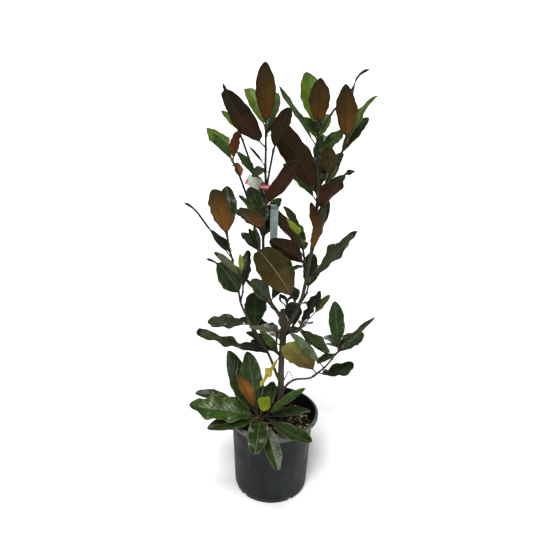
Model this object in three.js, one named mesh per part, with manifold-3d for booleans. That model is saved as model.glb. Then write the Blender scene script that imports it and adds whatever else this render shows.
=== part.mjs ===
// Young evergreen magnolia in a black nursery pot.
// Millimetres, +Z up. The origin is the centre of the pot's flat underside; -Y is the plant's front.
// The pot, the soil, the trunk and each bough are solids of their own. Every shoot is one more solid:
// a stem with its leaves fused on. Shoots are grown by one rule from the PLAN below, in which a leaf is
// an azimuth, a rise and a length, and the leaves that make up the back are dealt out by a seeded rule.
import * as THREE from "three";
import { mergeVertices } from "three/addons/utils/BufferGeometryUtils.js";
import Module from "manifold-3d";

// ---- driving dimensions ----
const POT_HEIGHT = 245; // a 250 mm nursery pot of about 8 litres
const POT_LIP_R = 127.5;
const POT_LIP_HEIGHT = 4;
const POT_LIP_WIDTH = 4;
const POT_COLLAR_HEIGHT = 32; // the flared collar below the lip
const POT_TOP_R = 111.4; // body under the collar
const POT_LOW_R = 102.4; // body above the foot
const POT_FOOT_R = 96.8; // flat underside
const POT_FOOT_HEIGHT = 17.5;
const POT_WALL = 2.5;
const COLLAR_STEP = { out: 2, up: 5 }; // the ledge where the collar leaves the body
const LIP_OVERHANG = 2.5;
const LIP_UNDERSIDE = 7; // how far below the rim the lip starts to stand out
const POT_SIDES = 48;
const NOTCH = { width: 15, height: 11, depth: 24, groups: 3, pairHalfAngle: 19, firstGroup: -36 };
const SOIL_TOP = 200;
const GAP = 0.3; // air between touching solids

const LEAF_WIDTH = 0.34; // of a leaf's length, stalk included
const LEAF_FOLD = 0.22; // how far the edges stand up, as a part of the half width
const LEAF_THICKNESS = 1 / 55; // at the midrib, of its length
const LEAF_BEND = 14; // degrees that a blade arches over from stalk to tip
const STALK = 0.12; // part of the length that is stalk
const STALK_R = 1.7;
const BLADE_SKEW = 1.08; // over 1 puts the widest place past the middle
const BLADE_FULLNESS = { foot: 0.8, tip: 0.45 }; // the lower, the blunter the blade ends there
const BLADE_PLACES = [0.14, 0.4, 0.68, 0.91]; // sections of a blade, from stalk to tip
const HOOK_START = 0.74; // where a hooked tip begins to turn, along the leaf
const LEAF_PIECES = 50; // steps in which a leaf's arch is worked out
const STEM_SIDES = 3;
const STEM_TIP_R = 2.4;
const STEM_BULK = 1.3; // a three-sided stem is drawn wider, to match a round one
const BUD_LENGTH = 18;
const BUD_R = 3.4;
const BUD_WIDEST = 0.35; // of its length
const STEM_STEP = 30; // length of a stem's straight pieces
const LIMB_STEP = 30;
const LIMB_SIDES = 8;
const FLARE_FADE = 30; // how fast the root flare dies away along the trunk
const FLARE_RING = { at: 0.025, up: 9 }; // one more ring that shapes it

const LEAF_CLEARANCE = 5; // between the blades of two leaves
const LIMB_CLEARANCE = 3; // between a blade and bark
const TURNS = [0, 6, -6, 12, -12, 18, -18, 24, -24, 30, -30]; // azimuths a leaf tries to find room
const SAMPLES_ALONG = 25;
const SAMPLES_ACROSS = 9;
const CROWDED = 0.42; // leaves of one shoot may touch within this part of their length
const GOLDEN_ANGLE = 137.5;
// Seeded leaves: the highest one's place on the stem, the part of it they fill, and how they vary.
const SEEDED = { highest: 0.95, span: 0.6, drop: 10, riseRange: 30, shortest: 104, lengthRange: 40 };
const DRAW = { first: 7, letterStep: 31, step: 16807, modulus: 2147483647 };
const TINY = 1e-6;

// ---- the wood ----
// Each limb: the points its axis runs through, and its diameter at the foot and at the tip.
const LIMBS = {
  trunk: {
    through: [
      [20, 0, SOIL_TOP + GAP], [20, 0, 235], [21, 0, 335], [20, 0, 376],
      [21, 0, 433], [25, 0, 509], [19, 0, 561],
    ],
    foot: 19,
    tip: 14,
    flare: 9,
  },
  left_leader: {
    through: [
      [24, 0, 515], [9, 0, 547], [-14, -3, 585], [-24, -10, 635],
      [-32, -15, 692], [-36, -24, 780], [-31, -40, 873], [-34, -40, 947],
    ],
    foot: 11,
    tip: 6,
    from: "trunk",
  },
  right_leader: {
    through: [
      [27, 0, 500], [48, 3, 539], [66, 5, 587], [72, 5, 616],
      [84, 5, 707], [91, 15, 793], [96, 25, 881], [91, 30, 951],
    ],
    foot: 12,
    tip: 6,
    from: "trunk",
  },
  left_low_bough: {
    through: [
      [21, 0, 335], [10, -3, 359], [-17, -8, 433], [-69, -12, 533],
      [-90, -18, 585], [-98, -20, 637], [-112, -27, 712],
    ],
    foot: 8.5,
    tip: 5,
    from: "trunk",
  },
  right_low_bough: {
    through: [[20, 0, 280], [34, 9, 318], [58, 10, 340], [96, 5, 349], [112, 0, 361]],
    foot: 7,
    tip: 5,
    from: "trunk",
  },
};

// ---- the shoots ----
// on: the limb; stem: the points its axis runs through, from inside the limb.
// leaves: [place along the stem, azimuth, rise, length, and where they differ from the usual
//   bend, roll, width factor, hook]. Azimuth 0 is +X and 90 is +Y, away from the front.
// back: leaves made by the seeded rule: [how many, heading, spread either side, rise].
const PLAN = {
  left_top_shoot: {
    on: "left_leader",
    stem: [[-34, -40, 940], [-34, -38, 990], [-35, -35, 1042]],
    leaves: [
      [1.0, 266, 72, 168, 6, 0, 0.84],
      [1.0, 122, 42, 118, 14, 0, 0.95],
      [0.9, 75, 43, 118, 14, 0, 0.9],
      [0.85, 70, 22, 76, 14, 0, 0.8],
      [0.6, 221, 52, 204, -24, 36, 0.82],
      [0.15, 140, 36, 66, 10, 0, 0.4],
      [0.1, 246, -2, 70, 40, -40, 0.9],
    ],
  },
  left_front_shoot: {
    on: "left_leader",
    stem: [[-31, -40, 885], [-27, -44, 925], [-17, -60, 994]],
    leaves: [[1.0, 299, 60, 136, 8, 0, 0.95]],
    back: [1, 60, 40, 40],
  },
  left_high_shoot: {
    on: "left_leader",
    stem: [[-31, -38, 868], [-60, -27, 935], [-96, -10, 1026]],
    leaves: [
      [1.0, 128, 27, 86, 14, 0, 0.9],
      [1.0, 238, 62, 96, 8, 0, 0.8],
      [0.4, 133, 35, 92, 10, 0, 0.9],
    ],
  },
  left_outer_shoot: {
    on: "left_leader",
    stem: [[-35, -22, 768], [-71, -33, 863], [-94, -40, 930], [-110, -40, 964]],
    leaves: [
      [0.97, 127, 28, 136, 12, 0, 0.8, 12],
      [0.96, 140, 40, 92],
      [1.0, 290, 69, 86, 6, 0, 0.8],
      [0.62, 155, 59, 42, 0, 0, 1.6],
    ],
  },
  left_inner_shoot: {
    on: "left_leader",
    stem: [[-35, -24, 778], [-39, -40, 815], [-38, -52, 858]],
    leaves: [
      [1.0, 313, 58, 182, -38, -40, 0.56, 55],
      [0.75, 109, 21, 110, 14, 0, 1.05],
      [0.5, 208, 50, 100, 10, -40, 0.9],
      [0.2, 244, 41, 134, -12, 8, 1.2],
    ],
  },
  left_mid_shoot: {
    on: "left_leader",
    stem: [[-32, -14, 686], [-39, -22, 708], [-43, -24, 728]],
    leaves: [
      [1.0, 116, 30, 82, 14, 0, 0.7],
      [0.8, 112, 50, 80, 14, 0, 0.6],
    ],
    back: [1, 90, 20, 10],
  },
  right_top_shoot: {
    on: "right_leader",
    stem: [[92, 29, 944], [89, 34, 990], [89, 35, 1034]],
    leaves: [
      [1.0, 267, 65, 140, 6],
      [0.85, 112, 58, 154, 10],
      [0.62, 112, 25, 96],
      [0.6, 69, 34, 94],
      [0.45, 166, 52, 172, 4, 4, 0.8, -20],
      [0.7, 5, 60, 98, 8, 0, 0.5],
      [0.1, 45, 34, 118, 14, 0, 0.95],
    ],
  },
  right_outer_shoot: {
    on: "right_leader",
    stem: [[95, 22, 858], [129, 15, 936], [156, 10, 1004]],
    leaves: [
      [1.0, 254, 71, 156, 6, 0, 0.92],
      [0.97, 8, 84, 194, 6, 0, 0.6, 75],
      [0.92, 12, 61, 144, 10, 0, 0.85, 20],
      [0.72, 32, 48, 122, 14, 0, 0.95],
      [0.36, 262, 57, 112, 0],
      [0.2, 48, 38, 70, 8],
    ],
  },
  right_upper_shoot: {
    on: "right_leader",
    stem: [[92, 17, 808], [93, 5, 840], [95, -4, 870]],
    leaves: [
      [1.0, 196, 58, 206, 16, 68, 0.95],
      [0.8, 140, 34, 134],
    ],
  },
  right_mid_shoot: {
    on: "right_leader",
    stem: [[84, 5, 700], [94, 6, 755], [96, 4, 820]],
    leaves: [
      [1.0, 319, 58, 178, 10, -22, 0.95, 45],
      [0.55, 60, 52, 104, 10, 0, 0.95],
      [0.12, 326, 75, 144, -6, 0, 0.9],
      [0.6, 208, 80, 90, 0, 50, 0.7],
    ],
  },
  right_inner_shoot: {
    on: "right_leader",
    stem: [[79, 5, 670], [70, -6, 705], [62, -8, 750]],
    leaves: [
      [0.95, 233, 53, 110, 10, 0, 0.75],
      [1.0, 148, 58, 106, 10, 0, 0.7, 20],
      [0.55, 201, 54, 168, 10, 48, 0.85],
      [0.7, 109, 27, 116, 14, 0, 1.1],
      [0.75, 90, 2, 74],
      [0.2, 214, 40, 150, 20, 72, 0.9],
      [0.3, 231, 3, 66],
    ],
  },
  right_low_shoot: {
    on: "right_leader",
    stem: [[65, 5, 584], [78, 1, 606], [84, 3, 640]],
    leaves: [[1.0, 36, 37, 190, -6, 0, 0.78, 12]],
    back: [2, 90, 20, 10],
  },
  fork_shoot: {
    on: "right_leader",
    stem: [[58, 4, 566], [54, -10, 578], [50, -22, 592]],
    leaves: [
      [1.0, 206, 57, 194, 12, 74, 1.2],
      [0.8, 300, 25, 58, 10],
      [0.75, 95, 5, 90],
    ],
  },
  trunk_right_shoot: {
    on: "trunk",
    stem: [[22, 0, 478], [44, 12, 490], [68, 16, 500]],
    leaves: [
      [0.9, 36, 53, 116, -6, 0, 0.55],
      [0.95, 23, 44, 120, -10, 0, 0.7],
      [0.95, 312, -12, 118, 10, 0, 0.62],
      [0.8, 348, -36, 104, 14, 0, 0.75],
      [0.8, 250, 40, 50, -30, 0, 0.8],
    ],
    back: [2, 90, 25, -10],
  },
  left_low_top_shoot: {
    on: "left_low_bough",
    stem: [[-110, -26, 705], [-118, -29, 736], [-124, -30, 772]],
    leaves: [
      [1.0, 243, 69, 148, -30, 0, 1.15],
      [0.95, 95, 58, 132, 6, 0, 1.05],
      [0.1, 159, 49, 188, -4, 0, 0.5, 40],
      [0.3, 126, 20, 82, 14, 0, 0.95],
    ],
  },
  left_low_mid_shoot: {
    on: "left_low_bough",
    stem: [[-91, -18, 588], [-84, -36, 632], [-88, -44, 682]],
    leaves: [
      [0.8, 160, 45, 101, 20, -20, 0.55],
      [0.9, 105, 66, 56, 8, 0, 0.7],
      [0.42, 82, 54, 112, 8, 0, 0.75, 20],
      [0.12, 190, 56, 152, 30, -68, 1.05, 30],
    ],
  },
  left_low_shoot: {
    on: "left_low_bough",
    stem: [[-15, -7, 430], [-38, -28, 470], [-66, -28, 528]],
    leaves: [
      [1.0, 149, -12, 138, -4, -22],
      [0.8, 90, 16, 160, 14, 0, 1.1],
      [0.05, 176, 15, 200, -16, 0, 0.7],
      [0.1, 204, 24, 84, 8, -40, 0.7],
    ],
  },
  left_fork_shoot: {
    on: "left_leader",
    stem: [[2, 0, 558], [-8, -14, 572], [-16, -20, 590]],
    leaves: [
      [1.0, 224, 53, 100, 10, -75, 1.2],
      [0.5, 160, 45, 116, 4, -10, 0.62],
      [0.5, 205, 58, 96, 10, -60, 0.9],
    ],
    back: [1, 80, 15, 5],
  },
  trunk_left_shoot: {
    on: "trunk",
    stem: [[20, 0, 418], [6, -14, 444], [6, -18, 505]],
    leaves: [
      [1.0, 204, 18, 84, 10, -32, 0.6],
      [0.55, 152, 6, 110, 14, 0, 0.85],
      [0.4, 136, 32, 80],
      [0.3, 174, 14, 86, 16, 0, 0.9],
      [0.12, 235, -32, 104, 6, 0, 0.5],
      [0.1, 187, 54, 96, 8, -50, 0.75],
    ],
    back: [2, 90, 25, -20],
  },
  right_low_top_shoot: {
    on: "right_low_bough",
    stem: [[108, 1, 358], [139, 0, 390], [164, 0, 428], [180, 0, 452]],
    leaves: [
      [1.0, 342, 52, 134, 4, 28, 0.55],
      [0.96, 130, -12, 60, 10, 0, 0.8],
      [0.8, 102, 64, 136, 6, 0, 0.95],
      [0.7, 49, 10, 120, -8],
      [0.75, 231, 3, 88],
      [0.1, 210, 48, 160, 12, 68],
      [0.15, 43, -9, 150, -64, 0, 0.85],
      [0.95, 215, 29, 60, 10, 0, 0.8],
      [0.3, 199, 50, 178, 8, -60, 0.46],
    ],
    back: [3, 90, 35, -5],
  },
  low_front_shoot: {
    on: "trunk",
    stem: [[20, 0, 226], [0, -42, 250], [-37, -100, 288]],
    leaves: [
      [1.0, 112, 58, 178, 8, 0, 0.95],
      [0.97, 136, 51, 200, -36, 0, 0.9],
      [1.0, 200, 68, 156, 6, 55, 0.8],
      [0.85, 180, 8, 200, 14, -30, 0.88, -20],
      [0.8, 194, -5, 156, 16, -30],
      [0.9, 62, 26, 116, 10],
      [0.85, 18, 32, 138, 8, 0, 0.65],
      [0.75, 22, -3, 132],
      [0.75, 320, 0, 158, -20],
      [0.88, 264, -8, 140, 50, 0, 1.1],
      [0.88, 290, -28, 154, 20, 0, 0.8],
      [1.0, 46, 51, 64, 0, 30, 1.3],
    ],
  },
  low_left_shoot: {
    on: "trunk",
    stem: [[20, 0, 262], [-30, -14, 280], [-104, -34, 304]],
    leaves: [[1.0, 182, 8, 108, 10, -20, 0.8]],
  },
  back_low_shoot: {
    on: "trunk",
    stem: [[20, 0, 385], [16, 42, 412], [18, 84, 450]],
    leaves: [[1.0, 80, -10, 128]],
    back: [6, 90, 70, -12],
  },
  back_left_shoot: {
    on: "left_leader",
    stem: [[-33, -16, 705], [-36, 24, 738], [-44, 60, 790]],
    leaves: [[1.0, 100, 40, 130]],
    back: [5, 95, 42, 15],
  },
  back_right_shoot: {
    on: "right_leader",
    stem: [[92, 18, 822], [102, 52, 842], [104, 92, 890]],
    leaves: [[1.0, 85, 45, 130]],
    back: [5, 88, 42, 15],
  },
};

// ---- labels hung on the left leader ----
const LOOP_LABEL = {
  plate: { size: [36, 1.2, 26], centre: [-60, -62, 924], tilt: 24 },
  strap: { size: [30, 1.2, 10], centre: [-36, -62, 913], tilt: 4 },
  ring: { z: 912, radius: 10 },
};
const HANGING_TAG = {
  top: [-10, -8, 848],
  width: 19,
  length: 98,
  thickness: 1.2,
  aboveTie: 4,
  ring: { z: 862, radius: 7.5 },
};
const RING_WIRE_R = 1;
const RING_SIDES = 6;
const RING_POINTS = 16;
const RING_REACH = 6; // the higher, the narrower the part of the loop that reaches out

const COLOURS = {
  pot: ["#26282a", 0.55],
  soil: ["#3a2a20", 0.95],
  bark: ["#5b4a3c", 0.85],
  leaf: ["#3f5a2a", 0.4],
  label: ["#c9ced0", 0.5],
};

const wasm = await Module();
wasm.setup();

const radians = THREE.MathUtils.degToRad;

// ---- solids from rings of points, and cutting and joining ----

// A closed skin over a row of rings, each the same number of points; a ring of one point is a tip.
function skin(rings) {
  const points = rings.flat();
  const starts = [];
  let count = 0;
  for (const ring of rings) {
    starts.push(count);
    count += ring.length;
  }
  const faces = [];
  const fan = (start, sides, flip) => {
    for (let i = 1; i < sides - 1; i++) {
      faces.push(flip ? [start, start + i + 1, start + i] : [start, start + i, start + i + 1]);
    }
  };
  for (let k = 0; k < rings.length - 1; k++) {
    const sides = Math.max(rings[k].length, rings[k + 1].length);
    for (let i = 0; i < sides; i++) {
      const j = (i + 1) % sides;
      const [a, b] = [starts[k], starts[k + 1]];
      if (rings[k + 1].length === 1) {
        faces.push([a + i, a + j, b]);
      } else if (rings[k].length === 1) {
        faces.push([a, b + j, b + i]);
      } else {
        faces.push([a + i, a + j, b + j], [a + i, b + j, b + i]);
      }
    }
  }
  const last = rings.length - 1;
  fan(starts[0], rings[0].length, true);
  fan(starts[last], rings[last].length, false);
  const geometry = new THREE.BufferGeometry();
  geometry.setAttribute("position", new THREE.Float32BufferAttribute(points.flatMap((p) => p.toArray()), 3));
  geometry.setIndex(faces.flat());
  return geometry;
}

function solidOf(geometry) {
  const bare = geometry.clone();
  bare.deleteAttribute("normal");
  bare.deleteAttribute("uv");
  const merged = mergeVertices(bare, 1e-4);
  return new wasm.Manifold(
    new wasm.Mesh({
      numProp: 3,
      vertProperties: merged.attributes.position.array,
      triVerts: new Uint32Array(merged.index.array),
    }),
  );
}

function geometryOf(solid) {
  const mesh = solid.getMesh();
  const geometry = new THREE.BufferGeometry();
  geometry.setAttribute("position", new THREE.BufferAttribute(mesh.vertProperties, 3));
  geometry.setIndex(new THREE.BufferAttribute(mesh.triVerts, 1));
  const flat = geometry.toNonIndexed();
  flat.computeVertexNormals();
  return flat;
}

// The largest of a solid's separate bodies: loose scraps of a cut are dropped.
function largest(solid) {
  const bodies = solid.decompose();
  return bodies.reduce((a, b) => (a.volume() > b.volume() ? a : b));
}

// ---- curves and tubes ----

function curveThrough(points) {
  const vectors = points.map((p) => new THREE.Vector3(...p));
  return new THREE.CatmullRomCurve3(vectors, false, "catmullrom", 0.5);
}

// Points along a curve with a direction and a side vector that turns with it.
function stationsAlong(curve, step) {
  const pieces = Math.max(3, Math.round(curve.getLength() / step));
  const stations = [];
  let side = new THREE.Vector3(1, 0, 0);
  for (let i = 0; i <= pieces; i++) {
    const at = i / pieces;
    const along = curve.getTangent(at);
    side = side.clone().addScaledVector(along, -side.dot(along)).normalize();
    stations.push({ at, point: curve.getPoint(at), along, side, up: along.clone().cross(side) });
  }
  return stations;
}

function ringAt(station, radius, sides) {
  const ring = [];
  for (let i = 0; i < sides; i++) {
    const angle = (2 * Math.PI * i) / sides;
    ring.push(
      station.point
        .clone()
        .addScaledVector(station.side, radius * Math.cos(angle))
        .addScaledVector(station.up, radius * Math.sin(angle)),
    );
  }
  return ring;
}

function limbRadius(limb, at) {
  const flare = (limb.flare ?? 0) * Math.exp(-at * FLARE_FADE);
  return THREE.MathUtils.lerp(limb.foot, limb.tip, at) / 2 + flare;
}

// A tapering limb with a flat cut at each end; grown is the extra air round it when it cuts a neighbour.
function limbSolid(limb, grown = 0) {
  const stations = stationsAlong(curveThrough(limb.through), LIMB_STEP);
  if (limb.flare) {
    const raised = stations[0].point.clone().add(new THREE.Vector3(0, 0, FLARE_RING.up));
    stations.splice(1, 0, { ...stations[0], point: raised, at: FLARE_RING.at });
  }
  const rings = stations.map((s) => ringAt(s, limbRadius(limb, s.at) + grown, LIMB_SIDES));
  if (grown > 0) {
    const last = stations.at(-1);
    rings[rings.length - 1] = ringAt(
      { ...last, point: last.point.clone().addScaledVector(last.along, grown) },
      limbRadius(limb, 1) + grown,
      LIMB_SIDES,
    );
  }
  return solidOf(skin(rings));
}

// ---- leaves ----

function leafFrom(row, place) {
  const [at, azimuth, rise, length, bend = LEAF_BEND, roll = 0, widthFactor = 1, hook = 0] = row;
  const width = LEAF_WIDTH * length * widthFactor;
  return { at, azimuth, rise, length, bend, roll, width, hook, place };
}

// Half the width of a blade at t, from 0 at the stalk to 1 at the tip.
function bladeOutline(t) {
  const fullness = THREE.MathUtils.lerp(BLADE_FULLNESS.foot, BLADE_FULLNESS.tip, t);
  return Math.sin(Math.PI * t ** BLADE_SKEW) ** fullness;
}

// Stations from the stem's axis to the tip: point, direction, side and face-up vectors.
function leafSpine(leaf, pieces) {
  const azimuth = radians(leaf.azimuth);
  const flatSide = new THREE.Vector3(-Math.sin(azimuth), Math.cos(azimuth), 0);
  const roll = radians(leaf.roll);
  const point = leaf.place.clone();
  const spine = [];
  for (let i = 0; i <= pieces; i++) {
    const s = i / pieces;
    const step = (at) => {
      const tipTurn = leaf.hook * Math.max(0, (at - HOOK_START) / (1 - HOOK_START));
      const angle = radians(leaf.rise + leaf.bend * (0.5 - at) - tipTurn);
      return new THREE.Vector3(
        Math.cos(angle) * Math.cos(azimuth),
        Math.cos(angle) * Math.sin(azimuth),
        Math.sin(angle),
      );
    };
    if (i > 0) point.addScaledVector(step(s - 0.5 / pieces), leaf.length / pieces);
    const along = step(s);
    const face = along.clone().cross(flatSide);
    const side = flatSide.clone().multiplyScalar(Math.cos(roll)).addScaledVector(face, Math.sin(roll));
    spine.push({ s, point: point.clone(), side, face: along.clone().cross(side) });
  }
  return spine;
}

// A leaf as one closed body: a four-sided stalk, then a folded blade that ends in a point.
function leafSolid(leaf) {
  const pieces = LEAF_PIECES;
  const spine = leafSpine(leaf, pieces);
  const bladeStart = Math.round(STALK * pieces);
  const bladePieces = pieces - bladeStart;
  const picks = [0, bladeStart, ...BLADE_PLACES.map((t) => bladeStart + Math.round(t * bladePieces))];
  const rings = picks.map((pick) => {
    const { point, side, face } = spine[pick];
    const t = Math.max(0, (pick - bladeStart) / bladePieces);
    const half = Math.max(STALK_R, (leaf.width / 2) * bladeOutline(t));
    const lift = pick > bladeStart ? LEAF_FOLD * half : 0;
    const thick = Math.max(STALK_R, (LEAF_THICKNESS * leaf.length) / 2);
    const at = (across, up) => point.clone().addScaledVector(side, across).addScaledVector(face, up);
    return [at(-half, lift), at(0, -thick), at(half, lift), at(0, thick)];
  });
  rings.push([spine[pieces].point]);
  return solidOf(skin(rings));
}

// ---- finding room ----

function leafSamples(leaf) {
  const samples = [];
  for (const { s, point, side, face } of leafSpine(leaf, SAMPLES_ALONG)) {
    if (s < STALK) continue;
    const half = (leaf.width / 2) * bladeOutline((s - STALK) / (1 - STALK));
    for (let j = 0; j < SAMPLES_ACROSS; j++) {
      const across = (2 * j) / (SAMPLES_ACROSS - 1) - 1;
      const lift = LEAF_FOLD * half * Math.abs(across);
      samples.push({ s, p: point.clone().addScaledVector(side, half * across).addScaledVector(face, lift) });
    }
  }
  return samples;
}

function middleOf(samples) {
  const p = samples.reduce((sum, a) => sum.add(a.p), new THREE.Vector3()).divideScalar(samples.length);
  return { p, reach: Math.max(...samples.map((a) => a.p.distanceTo(p))) };
}

// How much closer than allowed a leaf would come to what has already grown: 0 when it has room.
function crowding(samples, shootName, grown) {
  let worst = 0;
  const middle = middleOf(samples);
  for (const other of grown.leaves) {
    const sameShoot = other.shoot === shootName;
    const reach = middle.reach + other.middle.reach + LEAF_CLEARANCE;
    if (other.middle.p.distanceTo(middle.p) > reach) continue;
    for (const a of samples) {
      if (sameShoot && a.s < CROWDED) continue;
      for (const b of other.samples) {
        if (sameShoot && b.s < CROWDED) continue;
        worst = Math.max(worst, LEAF_CLEARANCE - a.p.distanceTo(b.p));
      }
    }
  }
  for (const bark of grown.bark) {
    for (const a of samples) {
      if (bark.shoot === shootName && a.s < CROWDED) continue;
      worst = Math.max(worst, bark.radius + LIMB_CLEARANCE - a.p.distanceTo(bark.point));
    }
  }
  return worst;
}

// The leaf turned as little as it takes to find room, or null where a seeded leaf finds none.
function roomFor(leaf, shootName, grown, mayBeSkipped) {
  let best = null;
  for (const turn of TURNS) {
    const turned = { ...leaf, azimuth: leaf.azimuth + turn };
    const samples = leafSamples(turned);
    const crowded = crowding(samples, shootName, grown);
    if (!best || crowded < best.crowded - TINY) best = { leaf: turned, samples, crowded, shoot: shootName };
    if (crowded === 0) break;
  }
  return mayBeSkipped && best.crowded > 0 ? null : best;
}

// ---- the seeded rule ----

// Whole-number random draws, the same everywhere: a seed from a name, then 0 to 1 values.
function drawsFor(name) {
  let state = DRAW.first;
  for (const letter of name) state = (state * DRAW.letterStep + letter.charCodeAt(0)) % DRAW.modulus;
  return () => {
    state = (state * DRAW.step) % DRAW.modulus;
    return state / DRAW.modulus;
  };
}

function seededRows(name, shoot) {
  if (!shoot.back) return [];
  const [count, heading, spread, rise] = shoot.back;
  const draw = drawsFor(name);
  const first = draw() * 360;
  const rows = [];
  for (let i = 0; i < count; i++) {
    const swing = Math.sin(radians(first + i * GOLDEN_ANGLE));
    const at = SEEDED.highest - (SEEDED.span * i) / count;
    const azimuth = heading + spread * swing;
    const lift = rise - SEEDED.drop + SEEDED.riseRange * draw();
    rows.push([at, azimuth, lift, SEEDED.shortest + SEEDED.lengthRange * draw()]);
  }
  return rows;
}

// Every shoot's leaves in their final places, worked out in the order of the PLAN.
function growAll() {
  const grown = { leaves: [], bark: [] };
  for (const limb of Object.values(LIMBS)) {
    for (const s of stationsAlong(curveThrough(limb.through), LIMB_STEP / 2)) {
      grown.bark.push({ point: s.point, radius: limbRadius(limb, s.at) });
    }
  }
  for (const [name, shoot] of Object.entries(PLAN)) {
    for (const s of stationsAlong(curveThrough(shoot.stem), STEM_STEP / 2)) {
      grown.bark.push({ point: s.point, radius: BUD_R, shoot: name });
    }
  }
  const add = (name, rows, mayBeSkipped) => {
    const curve = curveThrough(PLAN[name].stem);
    for (const row of rows) {
      const found = roomFor(leafFrom(row, curve.getPoint(row[0])), name, grown, mayBeSkipped);
      if (found) grown.leaves.push({ ...found, middle: middleOf(found.samples) });
    }
  };
  for (const [name, shoot] of Object.entries(PLAN)) add(name, shoot.leaves, false);
  for (const [name, shoot] of Object.entries(PLAN)) add(name, seededRows(name, shoot), true);
  return grown;
}

// A shoot's stem: three-sided, tapering, with a pointed bud at its tip.
function stemSolid(shoot, limb) {
  const curve = curveThrough(shoot.stem);
  const stations = stationsAlong(curve, STEM_STEP);
  const footR = Math.min(limb.tip / 2, BUD_R);
  const radiusAt = (at) => STEM_BULK * THREE.MathUtils.lerp(footR, STEM_TIP_R, at);
  const rings = stations.map((s) => ringAt(s, radiusAt(s.at), STEM_SIDES));
  const last = stations.at(-1);
  const ahead = (distance) => last.point.clone().addScaledVector(last.along, distance);
  rings.push(ringAt({ ...last, point: ahead(BUD_LENGTH * BUD_WIDEST) }, BUD_R, STEM_SIDES));
  rings.push([ahead(BUD_LENGTH)]);
  return solidOf(skin(rings));
}

function shootSolid(name, grown) {
  const shoot = PLAN[name];
  let solid = stemSolid(shoot, LIMBS[shoot.on]);
  for (const entry of grown.leaves) {
    if (entry.shoot === name) solid = solid.add(leafSolid(entry.leaf));
  }
  for (const limb of Object.values(LIMBS)) solid = solid.subtract(limbSolid(limb, GAP));
  return largest(solid);
}

// ---- pot and soil ----

function lathe(profile) {
  const points = profile.map(([r, z]) => new THREE.Vector2(r, z));
  return solidOf(new THREE.LatheGeometry(points, POT_SIDES).rotateX(Math.PI / 2));
}

function potSolid() {
  const collarFoot = POT_HEIGHT - POT_COLLAR_HEIGHT;
  const outside = [
    [0, 0],
    [POT_FOOT_R, 0],
    [POT_LOW_R, POT_FOOT_HEIGHT],
    [POT_TOP_R, collarFoot],
    [POT_TOP_R + COLLAR_STEP.out, collarFoot + COLLAR_STEP.up],
    [POT_LIP_R - LIP_OVERHANG, POT_HEIGHT - LIP_UNDERSIDE],
    [POT_LIP_R, POT_HEIGHT - POT_LIP_HEIGHT],
    [POT_LIP_R, POT_HEIGHT],
  ];
  const inside = [
    [POT_LIP_R - POT_LIP_WIDTH, POT_HEIGHT],
    [POT_LIP_R - LIP_OVERHANG - POT_WALL, POT_HEIGHT - LIP_UNDERSIDE],
    [POT_TOP_R - POT_WALL, collarFoot + POT_WALL],
    [POT_LOW_R - POT_WALL, POT_FOOT_HEIGHT],
    [POT_FOOT_R - POT_WALL, POT_WALL],
    [0, POT_WALL],
  ];
  let pot = lathe([...outside, ...inside]);
  for (let group = 0; group < NOTCH.groups; group++) {
    for (const half of [-1, 1]) {
      const angle = NOTCH.firstGroup + (360 / NOTCH.groups) * group + half * NOTCH.pairHalfAngle;
      const box = new THREE.BoxGeometry(NOTCH.depth, NOTCH.width, NOTCH.height * 2);
      box.translate(POT_LOW_R, 0, 0).rotateZ(radians(angle));
      pot = pot.subtract(solidOf(box));
    }
  }
  return pot;
}

function soilSolid() {
  const innerR = (z) => {
    const part = (z - POT_FOOT_HEIGHT) / (POT_HEIGHT - POT_COLLAR_HEIGHT + POT_WALL - POT_FOOT_HEIGHT);
    return THREE.MathUtils.lerp(POT_LOW_R, POT_TOP_R, part) - POT_WALL - GAP;
  };
  return lathe([
    [0, POT_WALL + GAP],
    [POT_FOOT_R - POT_WALL - 2 * GAP, POT_WALL + GAP],
    [innerR(POT_FOOT_HEIGHT), POT_FOOT_HEIGHT],
    [innerR(SOIL_TOP), SOIL_TOP],
    [0, SOIL_TOP],
  ]);
}

// ---- labels ----

function leaderAt(z) {
  const curve = curveThrough(LIMBS.left_leader.through);
  const stations = stationsAlong(curve, 4);
  return stations.reduce((a, b) => (Math.abs(a.point.z - z) < Math.abs(b.point.z - z) ? a : b));
}

// A closed loop of thin wire round the leader that reaches out to a point in front of it.
function tieSolid(ring, reachTo) {
  const middle = leaderAt(ring.z).point;
  const out = new THREE.Vector3(...reachTo).sub(middle).setZ(0);
  const reach = out.length();
  const start = Math.atan2(out.y, out.x);
  const rings = [];
  for (let i = 0; i < RING_POINTS; i++) {
    const angle = (2 * Math.PI * i) / RING_POINTS;
    const forward = Math.max(0, Math.cos(angle)) ** RING_REACH;
    const direction = new THREE.Vector3(Math.cos(start + angle), Math.sin(start + angle), 0);
    const point = middle.clone().addScaledVector(direction, ring.radius + (reach - ring.radius) * forward);
    point.z += (reachTo[2] - ring.z) * forward;
    const station = { point, side: direction, up: new THREE.Vector3(0, 0, 1) };
    rings.push(ringAt(station, RING_WIRE_R, RING_SIDES));
  }
  const points = rings.flat();
  const faces = [];
  for (let k = 0; k < RING_POINTS; k++) {
    for (let i = 0; i < RING_SIDES; i++) {
      const j = (i + 1) % RING_SIDES;
      const [a, b] = [k * RING_SIDES, ((k + 1) % RING_POINTS) * RING_SIDES];
      faces.push(a + i, b + j, a + j, a + i, b + i, b + j);
    }
  }
  const geometry = new THREE.BufferGeometry();
  geometry.setAttribute("position", new THREE.Float32BufferAttribute(points.flatMap((p) => p.toArray()), 3));
  geometry.setIndex(faces);
  return solidOf(geometry);
}

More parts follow.
